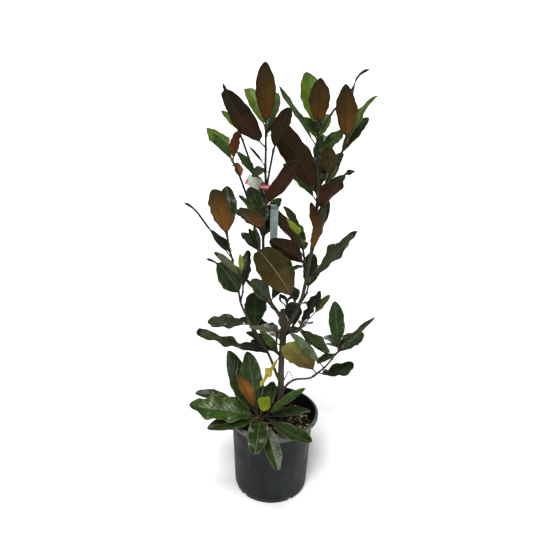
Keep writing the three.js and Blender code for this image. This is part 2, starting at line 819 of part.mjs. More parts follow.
function loopLabelSolid() {
  const { plate, strap, ring } = LOOP_LABEL;
  const sheets = [plate, strap].map(({ size, centre, tilt }) =>
    solidOf(new THREE.BoxGeometry(...size).rotateY(radians(tilt)).translate(...centre)),
  );
  const [x, y, z] = strap.centre;
  return sheets[0].add(sheets[1]).add(tieSolid(ring, [x, y, z]));
}

function hangingTagSolid() {
  const { top, width, length, thickness, aboveTie, ring } = HANGING_TAG;
  const outline = new THREE.Shape();
  const straight = length - width / 2;
  outline.moveTo(-width / 2, -length);
  outline.lineTo(width / 2, -length);
  outline.lineTo(width / 2, -length + straight);
  outline.absarc(0, -width / 2, width / 2, 0, Math.PI, false);
  const sheet = { depth: thickness, bevelEnabled: false, curveSegments: 8 };
  const plate = new THREE.ExtrudeGeometry(outline, sheet);
  plate.rotateX(Math.PI / 2).translate(top[0], top[1] + thickness / 2, top[2] + aboveTie);
  return solidOf(plate).add(tieSolid(ring, top));
}

// ---- the assembly ----

function meshOf(name, solid, [colour, roughness]) {
  const material = new THREE.MeshStandardMaterial({ color: colour, roughness, metalness: 0 });
  const mesh = new THREE.Mesh(geometryOf(solid), material);
  mesh.name = name;
  return mesh;
}

function buildMagnolia() {
  const tree = new THREE.Group();
  tree.name = "magnolia";
  tree.add(meshOf("pot", potSolid(), COLOURS.pot));
  tree.add(meshOf("soil", soilSolid(), COLOURS.soil));
  for (const [name, limb] of Object.entries(LIMBS)) {
    let solid = limbSolid(limb);
    if (limb.from) solid = largest(solid.subtract(limbSolid(LIMBS[limb.from], GAP)));
    if (name === "right_leader") solid = largest(solid.subtract(limbSolid(LIMBS.left_leader, GAP)));
    tree.add(meshOf(name, solid, COLOURS.bark));
  }
  const grown = growAll();
  for (const name of Object.keys(PLAN)) tree.add(meshOf(name, shootSolid(name, grown), COLOURS.leaf));
  tree.add(meshOf("loop_label", loopLabelSolid(), COLOURS.label));
  tree.add(meshOf("hanging_tag", hangingTagSolid(), COLOURS.label));
  return tree;
}

export default buildMagnolia();
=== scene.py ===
"""A young evergreen magnolia in a black nursery pot: the looks.

The wood and the leaves grow by the same rule as the part's solids, carried on to fine blades, stalks,
buds and bark. Plant measures are in millimetres, as that rule has them, and MM turns them into metres.
-Y is the plant's front.
"""
import math
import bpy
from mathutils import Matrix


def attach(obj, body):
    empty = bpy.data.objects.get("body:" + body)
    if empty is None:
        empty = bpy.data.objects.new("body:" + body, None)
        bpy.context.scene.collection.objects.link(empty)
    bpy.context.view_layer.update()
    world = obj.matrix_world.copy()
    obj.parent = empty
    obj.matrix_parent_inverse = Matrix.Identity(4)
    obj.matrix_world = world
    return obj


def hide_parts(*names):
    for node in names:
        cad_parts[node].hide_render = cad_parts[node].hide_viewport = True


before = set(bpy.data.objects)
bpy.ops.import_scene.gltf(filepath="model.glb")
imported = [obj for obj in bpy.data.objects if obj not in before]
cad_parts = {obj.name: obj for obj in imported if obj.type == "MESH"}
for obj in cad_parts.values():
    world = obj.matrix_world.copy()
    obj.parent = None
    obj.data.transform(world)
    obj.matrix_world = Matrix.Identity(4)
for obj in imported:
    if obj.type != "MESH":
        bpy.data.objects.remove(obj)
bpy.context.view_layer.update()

from types import SimpleNamespace

import bpy
import numpy as np
from mathutils import Matrix, Vector, noise

MM = 0.001

# ---- measures of the growth rule ----
LEAF_WIDTH = 0.34  # of its length
LEAF_FOLD = 0.22  # how far the margins stand above the midrib, of half the width
STALK = 0.12  # of the leaf's length
BLADE_SKEW = 1.08
BLADE_FULLNESS = {"foot": 0.8, "tip": 0.45}
HOOK_START = 0.74  # where along a leaf its hooked tip begins to turn
STEM_TIP_R = 2.4
BUD_LENGTH = 18
BUD_R = 3.4
STEM_STEP = 30
LIMB_STEP = 30
FLARE_FADE = 30
LEAF_CLEARANCE = 5
LIMB_CLEARANCE = 3
TURNS = [0, 6, -6, 12, -12, 18, -18, 24, -24, 30, -30]
SAMPLES_ALONG = 25
SAMPLES_ACROSS = 9
CROWDED = 0.42  # the part of a leaf, from its foot, that may come close to others of its own shoot
GOLDEN_ANGLE = 137.5
SEEDED = {"highest": 0.95, "span": 0.6, "drop": 10, "rise_range": 30, "shortest": 104, "length_range": 40}
DRAW = {"first": 7, "letter_step": 31, "step": 16807, "modulus": 2147483647}
TINY = 1e-6

# ---- the wood: the points each limb's axis runs through, its diameters, and its flare at the ground ----
LIMBS = {
    "trunk": {
        "through": [[20, 0, 200.3], [20, 0, 235], [21, 0, 335], [20, 0, 376], [21, 0, 433], [25, 0, 509],
                    [19, 0, 561]],
        "foot": 19, "tip": 14, "flare": 9,
    },
    "left_leader": {
        "through": [[24, 0, 515], [9, 0, 547], [-14, -3, 585], [-24, -10, 635], [-32, -15, 692],
                    [-36, -24, 780], [-31, -40, 873], [-34, -40, 947]],
        "foot": 11, "tip": 6,
    },
    "right_leader": {
        "through": [[27, 0, 500], [48, 3, 539], [66, 5, 587], [72, 5, 616], [84, 5, 707], [91, 15, 793],
                    [96, 25, 881], [91, 30, 951]],
        "foot": 12, "tip": 6,
    },
    "left_low_bough": {
        "through": [[21, 0, 335], [10, -3, 359], [-17, -8, 433], [-69, -12, 533], [-90, -18, 585],
                    [-98, -20, 637], [-112, -27, 712]],
        "foot": 8.5, "tip": 5,
    },
    "right_low_bough": {
        "through": [[20, 0, 280], [34, 9, 318], [58, 10, 340], [96, 5, 349], [112, 0, 361]],
        "foot": 7, "tip": 5,
    },
}

# dead twigs at the fork and beside the trunk: the points each runs through, and its radius at either end
DEAD_TWIGS = [
    ([[24, -2, 554], [30, -5, 562], [22, -7, 580], [14, -6, 584]], 2.2, 1.6),
    ([[26, -2, 556], [35, -6, 563], [47, -8, 579], [65, -8, 588], [74, -6, 596]], 2.4, 1.4),
    ([[30, -4, 562], [37, -9, 583], [53, -12, 584]], 1.8, 2.4),
    ([[36, -5, 566], [42, -14, 572], [50, -16, 568]], 1.4, 2.2),
    ([[24, -2, 556], [30, -6, 578], [24, -9, 598], [8, -8, 606]], 2.2, 5.2),
    ([[28, -6, 584], [34, -9, 597], [44, -9, 603]], 2.4, 4.6),
    ([[22, -7, 580], [12, -9, 590], [10, -9, 600]], 1.6, 3.4),
    ([[24, -2, 334], [34, -6, 361], [41, -6, 376], [56, -7, 352]], 1.3, 0.7),
]

# ---- the shoots, by name ----
PLAN = {}


def leaf(at, azimuth, rise, length, bend=14, roll=0, width=1.0, hook=0, top="dark", under="rust", **shape):
    """One leaf: the rule's numbers, then the tints of its two faces and how its blade curls."""
    return SimpleNamespace(
        at=at, azimuth=azimuth, rise=rise, length=length, bend=bend, roll=roll,
        width=LEAF_WIDTH * length * width, hook=hook, top=top, under=under, shape=shape,
    )


def shoot(name, limb, stem, *leaves, back=None):
    """A shoot: the limb it stands on, the points its stem runs through, and its leaves.

    back is for seeded leaves behind: how many, their heading, the spread either side of it, their rise.
    """
    PLAN[f"{name}_shoot"] = SimpleNamespace(limb=limb, stem=stem, leaves=leaves, back=back)


shoot(
    "left_top", "left_leader", [[-34, -40, 940], [-34, -38, 990], [-35, -35, 1042]],
    leaf(1.0, 266, 72, 168, 6, 0, 0.84, under="brown", start=-0.06, point=0.35, full=1.02),
    leaf(1.0, 122, 42, 118, 14, 0, 0.95, top="bright", under="lime", point=-0.5),
    leaf(0.9, 75, 43, 118, 14, 0, 0.9, top="green"),
    leaf(0.85, 70, 22, 76, 14, 0, 0.8, top="green"),
    leaf(0.6, 221, 52, 204, -24, 36, 0.82, under="umber", wave=0.2, waves=1.2, tail=0.1, start=-0.1,
         point=-0.2, full=1),
    leaf(0.15, 140, 36, 66, 10, 0, 0.4, top="slate", under="slate"),
    leaf(0.1, 246, -2, 70, 40, -40, 0.9, top="grey"),
)
shoot(
    "left_front", "left_leader", [[-31, -40, 885], [-27, -44, 925], [-17, -60, 994]],
    leaf(1.0, 299, 60, 136, 8, 0, 0.95, under="umber"),
    back=[1, 60, 40, 40],
)
shoot(
    "left_high", "left_leader", [[-31, -38, 868], [-60, -27, 935], [-96, -10, 1026]],
    leaf(1.0, 128, 27, 86, 14, 0, 0.9, top="bright"),
    leaf(1.0, 238, 62, 96, 8, 0, 0.8, under="olive"),
    leaf(0.4, 133, 35, 92, 10, 0, 0.9, top="green"),
)
shoot(
    "left_outer", "left_leader", [[-35, -22, 768], [-71, -33, 863], [-94, -40, 930], [-110, -40, 964]],
    leaf(0.97, 127, 28, 136, 12, 0, 0.8, 12, top="bright", under="lime", point=1.6, full=1.4),
    leaf(0.96, 140, 40, 92, top="green"),
    leaf(1.0, 290, 69, 86, 6, 0, 0.8, under="red", ragged=0.06),
    leaf(0.62, 155, 59, 42, 0, 0, 1.6, top="orange", under="orange"),
)
shoot(
    "left_inner", "left_leader", [[-35, -24, 778], [-39, -40, 815], [-38, -52, 858]],
    leaf(1.0, 313, 58, 182, -38, -40, 0.56, 55, under="maroon", wave=0.2, waves=1.5, sway=-0.03, full=1.25),
    leaf(0.75, 109, 21, 110, 14, 0, 1.05),
    leaf(0.5, 208, 50, 100, 10, -40, 0.9, top="green", under="olive"),
    leaf(0.2, 244, 41, 134, -12, 8, 1.2, under="brown", full=1.2),
)
shoot(
    "left_mid", "left_leader", [[-32, -14, 686], [-39, -22, 708], [-43, -24, 728]],
    leaf(1.0, 116, 30, 82, 14, 0, 0.7),
    leaf(0.8, 112, 50, 80, 14, 0, 0.6),
    back=[1, 90, 20, 10],
)
shoot(
    "right_top", "right_leader", [[92, 29, 944], [89, 34, 990], [89, 35, 1034]],
    leaf(1.0, 267, 65, 140, 6, under="brown", start=-0.1, point=0.6),
    leaf(0.85, 112, 58, 154, 10, top="bright", full=1.35),
    leaf(0.62, 112, 25, 96, top="bright"),
    leaf(0.6, 69, 34, 94, top="bright"),
    leaf(0.45, 166, 52, 172, 4, 4, 0.8, -20, top="green", under="olive"),
    leaf(0.7, 5, 60, 98, 8, 0, 0.5, top="slate", under="slate"),
    leaf(0.1, 45, 34, 118, 14, 0, 0.95, top="green", full=1.3),
)
shoot(
    "right_outer", "right_leader", [[95, 22, 858], [129, 15, 936], [156, 10, 1004]],
    leaf(1.0, 254, 71, 156, 6, 0, 0.92, under="brown", start=-0.12, point=0.6),
    leaf(0.97, 8, 84, 194, 6, 0, 0.6, 75, top="slate", under="slate", tail=0.26),
    leaf(0.92, 12, 61, 144, 10, 0, 0.85, 20, top="bright", under="lime", full=1.25),
    leaf(0.72, 32, 48, 122, 14, 0, 0.95, top="green", full=1.25),
    leaf(0.36, 262, 57, 112, 0, under="olive"),
    leaf(0.2, 48, 38, 70, 8, top="olive"),
)
shoot(
    "right_upper", "right_leader", [[92, 17, 808], [93, 5, 840], [95, -4, 870]],
    leaf(1.0, 196, 58, 206, 16, 68, 0.95, under="umber", full=1.04, point=-0.7),
    leaf(0.8, 140, 34, 134, top="green"),
)
shoot(
    "right_mid", "right_leader", [[84, 5, 700], [94, 6, 755], [96, 4, 820]],
    leaf(1.0, 319, 58, 178, 10, -22, 0.95, 45, under="maroon", wave=0.2, waves=1.5, dry=0.74, tail=0.27,
         knob=17, full=1, point=1),
    leaf(0.55, 60, 52, 104, 10, 0, 0.95),
    leaf(0.12, 326, 75, 144, -6, 0, 0.9, under="brown", full=1.25),
    leaf(0.6, 208, 80, 90, 0, 50, 0.7, full=1.5),
)
shoot(
    "right_inner", "right_leader", [[79, 5, 670], [70, -6, 705], [62, -8, 750]],
    leaf(0.95, 233, 53, 110, 10, 0, 0.75, top="lime", under="lime", start=0.3, full=1.5),
    leaf(1.0, 148, 58, 106, 10, 0, 0.7, 20, full=1.5),
    leaf(0.55, 201, 54, 168, 10, 48, 0.85, under="olive"),
    leaf(0.7, 109, 27, 116, 14, 0, 1.1),
    leaf(0.75, 90, 2, 74),
    leaf(0.2, 214, 40, 150, 20, 72, 0.9, under="umber"),
    leaf(0.3, 231, 3, 66, under="red"),
)
shoot(
    "right_low", "right_leader", [[65, 5, 584], [78, 1, 606], [84, 3, 640]],
    leaf(1.0, 36, 37, 190, -6, 0, 0.78, 12, top="grey", wave=0.18, ragged=0.14, dry=0.93),
    back=[2, 90, 20, 10],
)
shoot(
    "fork", "right_leader", [[58, 4, 566], [54, -10, 578], [50, -22, 592]],
    leaf(1.0, 206, 57, 194, 12, 74, 1.2, under="olive", pale_rib=True, full=1.16, point=-0.2),
    leaf(0.8, 300, 25, 58, 10),
    leaf(0.75, 95, 5, 90),
)
shoot(
    "trunk_right", "trunk", [[22, 0, 478], [44, 12, 490], [68, 16, 500]],
    leaf(0.9, 36, 53, 116, -6, 0, 0.55, top="slate", ragged=0.2, full=1.7),
    leaf(0.95, 23, 44, 120, -10, 0, 0.7, top="olive", start=0.4, full=1.4),
    leaf(0.95, 312, -12, 118, 10, 0, 0.62),
    leaf(0.8, 348, -36, 104, 14, 0, 0.75),
    leaf(0.8, 250, 40, 50, -30, 0, 0.8, top="slate", full=0.9),
    back=[2, 90, 25, -10],
)
shoot(
    "left_low_top", "left_low_bough", [[-110, -26, 705], [-118, -29, 736], [-124, -30, 772]],
    leaf(1.0, 243, 69, 148, -30, 0, 1.15, start=-0.06, point=-0.1),
    leaf(0.95, 95, 58, 132, 6, 0, 1.05),
    leaf(0.1, 159, 49, 188, -4, 0, 0.5, 40, top="slate", under="slate", tail=0.58),
    leaf(0.3, 126, 20, 82, 14, 0, 0.95),
)
shoot(
    "left_low_mid", "left_low_bough", [[-91, -18, 588], [-84, -36, 632], [-88, -44, 682]],
    leaf(0.8, 160, 45, 101, 20, -20, 0.55, top="pale", dry=0.9, full=1.5),
    leaf(0.9, 105, 66, 56, 8, 0, 0.7, top="lime", under="lime"),
    leaf(0.42, 82, 54, 112, 8, 0, 0.75, 20, top="slate", ragged=0.1),
    leaf(0.12, 190, 56, 152, 30, -68, 1.05, 30, under="umber", tail=0.24, full=1.25),
)
shoot(
    "left_low", "left_low_bough", [[-15, -7, 430], [-38, -28, 470], [-66, -28, 528]],
    leaf(1.0, 149, -12, 138, -4, -22, top="grey", wave=0.16, ragged=0.08),
    leaf(0.8, 90, 16, 160, 14, 0, 1.1),
    leaf(0.05, 176, 15, 200, -16, 0, 0.7, top="grey", wave=0.15, waves=3, ragged=0.09, point=-0.75,
         full=0.95, dry=0.95),
    leaf(0.1, 204, 24, 84, 8, -40, 0.7, top="slate"),
)
shoot(
    "left_fork", "left_leader", [[2, 0, 558], [-8, -14, 572], [-16, -20, 590]],
    leaf(1.0, 224, 53, 100, 10, -75, 1.2),
    leaf(0.5, 160, 45, 116, 4, -10, 0.62, top="grey", ragged=0.1),
    leaf(0.5, 205, 58, 96, 10, -60, 0.9),
    back=[1, 80, 15, 5],
)
shoot(
    "trunk_left", "trunk", [[20, 0, 418], [6, -14, 444], [6, -18, 505]],
    leaf(1.0, 204, 18, 84, 10, -32, 0.6, top="pale", ragged=0.1),
    leaf(0.55, 152, 6, 110, 14, 0, 0.85),
    leaf(0.4, 136, 32, 80),
    leaf(0.3, 174, 14, 86, 16, 0, 0.9),
    leaf(0.12, 235, -32, 104, 6, 0, 0.5, top="yellow", under="yellow", ragged=0.15, wave=0.5),
    leaf(0.1, 187, 54, 96, 8, -50, 0.75, top="gloss"),
    back=[2, 90, 25, -20],
)
shoot(
    "right_low_top", "right_low_bough", [[108, 1, 358], [139, 0, 390], [164, 0, 428], [180, 0, 452]],
    leaf(1.0, 342, 52, 134, 4, 28, 0.55, top="grey", under="olive", full=1),
    leaf(0.96, 130, -12, 60, 10, 0, 0.8),
    leaf(0.8, 102, 64, 136, 6, 0, 0.95),
    leaf(0.7, 49, 10, 120, -8, full=1.5),
    leaf(0.75, 231, 3, 88),
    leaf(0.1, 210, 48, 160, 12, 68, under="tan", pale_rib=True, full=1.45),
    leaf(0.15, 43, -9, 150, -64, 0, 0.85, wave=0.14, full=1.4),
    leaf(0.95, 215, 29, 60, 10, 0, 0.8),
    leaf(0.3, 199, 50, 178, 8, -60, 0.46, top="gloss"),
    back=[3, 90, 35, -5],
)
shoot(
    "low_front", "trunk", [[20, 0, 226], [0, -42, 250], [-37, -100, 288]],
    leaf(1.0, 112, 58, 178, 8, 0, 0.95, full=1.05),
    leaf(0.97, 136, 51, 200, -36, 0, 0.9, full=1.3, start=-0.08),
    leaf(1.0, 200, 68, 156, 6, 55, 0.8, under="orange", start=0.12, full=0.97),
    leaf(0.85, 180, 8, 200, 14, -30, 0.88, -20, top="green", wave=0.2, waves=3, ragged=0.08, full=1.3),
    leaf(0.8, 194, -5, 156, 16, -30, full=0.95),
    leaf(0.9, 62, 26, 116, 10),
    leaf(0.85, 18, 32, 138, 8, 0, 0.65, top="green"),
    leaf(0.75, 22, -3, 132),
    leaf(0.75, 320, 0, 158, -20),
    leaf(0.88, 264, -8, 140, 50, 0, 1.1, wave=0.2, waves=3),
    leaf(0.88, 290, -28, 154, 20, 0, 0.8),
    leaf(1.0, 46, 51, 64, 0, 30, 1.3, top="lime", under="lime", fold=1.2, point=1.4, full=1.4, start=0.2),
)
shoot(
    "low_left", "trunk", [[20, 0, 262], [-30, -14, 280], [-104, -34, 304]],
    leaf(1.0, 182, 8, 108, 10, -20, 0.8),
)
shoot(
    "back_low", "trunk", [[20, 0, 385], [16, 42, 412], [18, 84, 450]],
    leaf(1.0, 80, -10, 128),
    back=[6, 90, 70, -12],
)
shoot(
    "back_left", "left_leader", [[-33, -16, 705], [-36, 24, 738], [-44, 60, 790]],
    leaf(1.0, 100, 40, 130),
    back=[5, 95, 42, 15],
)
shoot(
    "back_right", "right_leader", [[92, 18, 822], [102, 52, 842], [104, 92, 890]],
    leaf(1.0, 85, 45, 130),
    back=[5, 88, 42, 15],
)


# ---- curves ----

def curve_point(points, t):
    """A point of the uniform Catmull-Rom curve through the points, t from 0 to 1."""
    last = len(points) - 1
    place = min(max(t, 0.0), 1.0) * last
    k = min(int(place), last - 1)
    w = place - k
    p = np.asarray(points, float)
    before = p[k - 1] if k > 0 else 2 * p[0] - p[1]
    after = p[k + 2] if k + 2 <= last else 2 * p[last] - p[last - 1]
    start_slope, end_slope = 0.5 * (p[k + 1] - before), 0.5 * (after - p[k])
    cubic = 2 * p[k] - 2 * p[k + 1] + start_slope + end_slope
    square = -3 * p[k] + 3 * p[k + 1] - 2 * start_slope - end_slope
    return ((cubic * w + square) * w + start_slope) * w + p[k]


def curve_length(points, divisions=200):
    line = np.array([curve_point(points, i / divisions) for i in range(divisions + 1)])
    return float(np.linalg.norm(np.diff(line, axis=0), axis=1).sum())


def unit(v):
    return v / np.linalg.norm(v)


def stations_along(points, step):
    """Places along a curve, each with a direction and a side vector that turns with it."""
    pieces = max(3, int(curve_length(points) / step + 0.5))
    side, found = np.array([1.0, 0, 0]), []
    for i in range(pieces + 1):
        at = i / pieces
        along = unit(curve_point(points, at + 1e-4) - curve_point(points, at - 1e-4))
        side = unit(side - along * side.dot(along))
        found.append(SimpleNamespace(
            at=at, point=curve_point(points, at), along=along, side=side, up=np.cross(along, side)))
    return found


def limb_radius(limb, at):
    flare = limb.get("flare", 0) * math.exp(-at * FLARE_FADE)
    return (limb["foot"] + (limb["tip"] - limb["foot"]) * at) / 2 + flare


# ---- the leaf rule ----

def blade_outline(t):
    """How wide a blade is along its length, of its widest: wedged at the foot, blunt at the tip."""
    t = np.clip(t, 0, 1)
    fullness = BLADE_FULLNESS["foot"] + (BLADE_FULLNESS["tip"] - BLADE_FULLNESS["foot"]) * t
    return np.sin(np.pi * t ** BLADE_SKEW).clip(0) ** fullness


def leaf_spine(leaf, pieces):
    azimuth, roll = math.radians(leaf.azimuth), math.radians(leaf.roll)
    flat_side = np.array([-math.sin(azimuth), math.cos(azimuth), 0.0])

    def direction(at):
        tip_turn = leaf.hook * np.maximum(0, (at - HOOK_START) / (1 - HOOK_START))
        angle = np.radians(leaf.rise + leaf.bend * (0.5 - at) - tip_turn)
        flat = np.cos(angle)
        return np.stack([flat * math.cos(azimuth), flat * math.sin(azimuth), np.sin(angle)], axis=-1)

    s = np.arange(pieces + 1) / pieces
    steps = direction(s[1:] - 0.5 / pieces) * leaf.length / pieces
    point = leaf.place + np.vstack([np.zeros(3), np.cumsum(steps, axis=0)])
    along = direction(s)
    face = np.cross(along, flat_side)
    side = flat_side * math.cos(roll) + face * math.sin(roll)
    return SimpleNamespace(s=s, point=point, along=along, side=side, face=np.cross(along, side))


def leaf_samples(leaf):
    spine = leaf_spine(leaf, SAMPLES_ALONG)
    keep = spine.s >= STALK
    s = spine.s[keep]
    half = leaf.width / 2 * blade_outline((s - STALK) / (1 - STALK))
    across = np.linspace(-1, 1, SAMPLES_ACROSS)
    spread = (half[:, None] * across)[..., None] * spine.side[keep][:, None]
    lift = (LEAF_FOLD * half[:, None] * np.abs(across))[..., None] * spine.face[keep][:, None]
    points = spine.point[keep][:, None] + spread + lift
    return np.repeat(s, SAMPLES_ACROSS), points.reshape(-1, 3)


def distances(a, b):
    return np.sqrt(((a[:, None] - b[None]) ** 2).sum(-1))


def crowding(s, points, name, grown):
    """How much closer than allowed a leaf of the named shoot would come to what has grown, or 0."""
    middle = points.mean(0)
    reach = np.linalg.norm(points - middle, axis=1).max()
    free, worst = s >= CROWDED, 0.0
    for other in grown.leaves:
        if np.linalg.norm(other.middle - middle) > reach + other.reach + LEAF_CLEARANCE:
            continue
        same = other.shoot == name
        mine = points[free] if same else points
        theirs = other.points[other.s >= CROWDED] if same else other.points
        worst = max(worst, LEAF_CLEARANCE - distances(mine, theirs).min())
    for bark_name, bark_points, radii in grown.bark:
        mine = points[free] if bark_name == name else points
        worst = max(worst, (radii + LIMB_CLEARANCE - distances(mine, bark_points)).max())
    return worst


def room_for(leaf, name, grown, may_be_skipped):
    """The leaf turned as little as it takes to find room, or None where a seeded leaf finds none."""
    best = None
    for turn in TURNS:
        turned = SimpleNamespace(**{**vars(leaf), "azimuth": leaf.azimuth + turn})
        s, points = leaf_samples(turned)
        crowded = crowding(s, points, name, grown)
        if best is None or crowded < best.crowded - TINY:
            best = SimpleNamespace(leaf=turned, s=s, points=points, crowded=crowded, shoot=name)
        if crowded == 0:
            break
    if may_be_skipped and best.crowded > 0:
        return None
    best.middle = best.points.mean(0)
    best.reach = np.linalg.norm(best.points - best.middle, axis=1).max()
    return best


def draws_for(name):
    """Random draws from 0 to 1, made with whole numbers only and seeded by a name."""
    state = DRAW["first"]
    for letter in name:
        state = (state * DRAW["letter_step"] + ord(letter)) % DRAW["modulus"]
    while True:
        state = (state * DRAW["step"]) % DRAW["modulus"]
        yield state / DRAW["modulus"]


def drawn(draws, span):
    """A random number from a span, which is its least value and its range."""
    least, extra = span
    return least + extra * next(draws)


def seeded_leaves(name):
    if not PLAN[name].back:
        return []
    count, heading, spread, rise = PLAN[name].back
    draws = draws_for(name)
    first = next(draws) * 360
    made = []
    for i in range(count):
        swing = math.sin(math.radians(first + i * GOLDEN_ANGLE))
        lift = rise - SEEDED["drop"] + SEEDED["rise_range"] * next(draws)
        length = SEEDED["shortest"] + SEEDED["length_range"] * next(draws)
        at = SEEDED["highest"] - SEEDED["span"] * i / count
        made.append(leaf(at, heading + spread * swing, lift, length))
    return made


def grow_all():
    """Every leaf in its place: those that the photograph shows first, then the seeded ones."""
    grown = SimpleNamespace(leaves=[], bark=[])
    for limb in LIMBS.values():
        stations = stations_along(limb["through"], LIMB_STEP / 2)
        radii = np.array([limb_radius(limb, s.at) for s in stations])
        grown.bark.append((None, np.array([s.point for s in stations]), radii))
    for name, plan in PLAN.items():
        stations = stations_along(plan.stem, STEM_STEP / 2)
        grown.bark.append((name, np.array([s.point for s in stations]), BUD_R))

    def add(name, leaves, may_be_skipped):
        for one in leaves:
            one.place = curve_point(PLAN[name].stem, one.at)
            found = room_for(one, name, grown, may_be_skipped)
            if found:
                grown.leaves.append(found)

    for name, plan in PLAN.items():
        add(name, plan.leaves, False)
    for name in PLAN:
        add(name, seeded_leaves(name), True)
    return grown.leaves


# ---- materials ----

NOISE_ROUGHNESS = 0.55
SIDE_VEINS = {"count": 11.0, "slant": 2.6, "width": 0.11, "fade": (0.55, 0.95)}


def linear(colour):
    """A colour written as #rrggbb, as the shader reads it."""
    values = [int(colour[i:i + 2], 16) / 255 for i in (1, 3, 5)]
    return [v / 12.92 if v <= 0.04045 else ((v + 0.055) / 1.055) ** 2.4 for v in values] + [1.0]


class Shading:
    """A material with one Principled shader, and short ways to add and join its nodes."""

    def __init__(self, name, roughness, specular):
        self.material = bpy.data.materials.new(name)
        self.material.use_nodes = True
        self.nodes = self.material.node_tree.nodes
        self.links = self.material.node_tree.links
        self.shader = self.nodes["Principled BSDF"]
        self.shader.inputs["Roughness"].default_value = roughness
        self.shader.inputs["Specular IOR Level"].default_value = specular
        self.place = self.node("ShaderNodeTexCoord", {}).outputs["Object"]

    def node(self, kind, inputs, **settings):
        made = self.nodes.new(kind)
        for key, value in settings.items():
            setattr(made, key, value)
        for key, value in inputs.items():
            if isinstance(value, bpy.types.NodeSocket):
                self.links.new(value, made.inputs[key])
            else:
                made.inputs[key].default_value = value
        return made

    def math(self, operation, a, b=0.0):
        return self.node("ShaderNodeMath", {0: a, 1: b}, operation=operation).outputs[0]

    def times(self, a, b):
        return self.math("MULTIPLY", a, b)

    def plus(self, a, b):
        return self.math("ADD", a, b)

    def ramp(self, value, low, high, start=0.0, end=1.0):
        """value from low..high turned to start..end, held at its ends."""
        inputs = {"Value": value, "From Min": low, "From Max": high, "To Min": start, "To Max": end}
        return self.node("ShaderNodeMapRange", inputs).outputs["Result"]

    def noise(self, scale, detail, stretch=(1, 1, 1), distortion=0.0):
        scaled = self.node("ShaderNodeMapping", {"Vector": self.place, "Scale": stretch})
        inputs = {"Vector": scaled.outputs[0], "Scale": scale, "Detail": detail,
                  "Distortion": distortion, "Roughness": NOISE_ROUGHNESS}
        return self.node("ShaderNodeTexNoise", inputs).outputs["Fac"]

    def mix(self, share, a, b):
        """From a to b, each a socket or a colour written as #rrggbb."""
        a, b = (linear(colour) if isinstance(colour, str) else colour for colour in (a, b))
        return self.node("ShaderNodeMix", {0: share, 6: a, 7: b}, data_type="RGBA").outputs[2]

    def join(self, value, socket):
        self.links.new(value, self.shader.inputs[socket])

    def bump(self, height, distance, strength):
        made = self.node("ShaderNodeBump", {"Height": height, "Distance": distance, "Strength": strength})
        self.join(made.outputs[0], "Normal")


def blade_place(s):
    """Where on a blade a point is: t along it, how far out from the midrib, 0 to 1, and side veins.

    The veins, 1 on each, leave the midrib at a slant and fade towards the margin.
    """
    found = s.node("ShaderNodeAttribute", {}, attribute_name="blade")
    t, across, _ = s.node("ShaderNodeSeparateXYZ", {0: found.outputs["Vector"]}).outputs
    out = s.math("ABSOLUTE", across)
    phase = s.math("SUBTRACT", s.times(t, SIDE_VEINS["count"]), s.times(out, SIDE_VEINS["slant"]))
    line = s.ramp(s.math("PINGPONG", phase, 0.5), 0.0, SIDE_VEINS["width"], 1.0, 0.0)
    return t, out, s.times(line, s.ramp(out, *SIDE_VEINS["fade"], 1.0, 0.0))


def leaf_top(name, colour, patch, roughness=0.24, shine=0.23):
    """The upper face: waxy and crinkled, with side veins pressed in."""
    s = Shading(name, roughness, shine)
    veins = blade_place(s)[2]
    base = s.mix(s.ramp(s.noise(38, 3), 0.42, 0.66), colour, patch)
    s.join(s.mix(s.times(veins, 0.14), base, "#5c6a2c"), "Base Color")
    s.join(s.ramp(s.noise(60, 2), 0.35, 0.7, roughness - 0.06, roughness + 0.14), "Roughness")
    s.bump(s.plus(s.times(veins, -0.5), s.times(s.noise(95, 4), 0.55)), 0.0024, 0.9)
    return s.material


def leaf_under(name, colour, patch, tip="#1f1c0e", foot="#6a3f18"):
    """The lower face: felted, dull, with raised side veins, and its own tints at tip, margin and foot."""
    s = Shading(name, 0.7, 0.06)
    t, out, veins = blade_place(s)
    base = s.mix(s.ramp(s.noise(26, 4, distortion=0.3), 0.4, 0.68), colour, patch)
    base = s.mix(s.ramp(t, 0.55, 0.98, 0, 0.85), base, tip)
    base = s.mix(s.ramp(t, 0.12, 0.55, 0.6, 0), base, foot)
    base = s.mix(s.ramp(out, 0.45, 1.0, 0, 0.45), base, tip)
    s.join(s.mix(s.times(veins, 0.22), base, "#20150c"), "Base Color")
    s.bump(s.plus(s.times(veins, 0.8), s.times(s.noise(900, 2), 0.25)), 0.0008, 0.5)
    return s.material


def plain_growth(name, colour, patch, roughness=0.6, scale=120, bump=0.0004):
    """Stalks, ribs, buds and the like: two tints in fine mottling over a grained surface."""
    s = Shading(name, roughness, 0.2)
    s.join(s.mix(s.ramp(s.noise(scale, 3), 0.38, 0.66), colour, patch), "Base Color")
    s.bump(s.noise(scale * 6, 3), bump, 0.6)
    return s.material


# the upper faces by tint: the colour, the one it is clouded with, its roughness and its shine
TOPS = {tint: leaf_top(f"leaf_top_{tint}", *look) for tint, look in {
    "dark": ("#213112", "#14200d"),
    "green": ("#2e4416", "#1d2f12"),
    "gloss": ("#33461c", "#485a2a", 0.15, 0.5),
    "bright": ("#4a6013", "#364e12", 0.3),
    "lime": ("#76811f", "#596816", 0.38),
    "pale": ("#565a43", "#3d442e", 0.4),
    "grey": ("#2f3721", "#1e2716", 0.2, 0.42),
    "slate": ("#181b15", "#0c0d09", 0.4),
    "olive": ("#4a4819", "#383714", 0.42),
    "yellow": ("#a0912b", "#7c7624", 0.5),
    "orange": ("#6f3e24", "#552c19", 0.5),
}.items()}
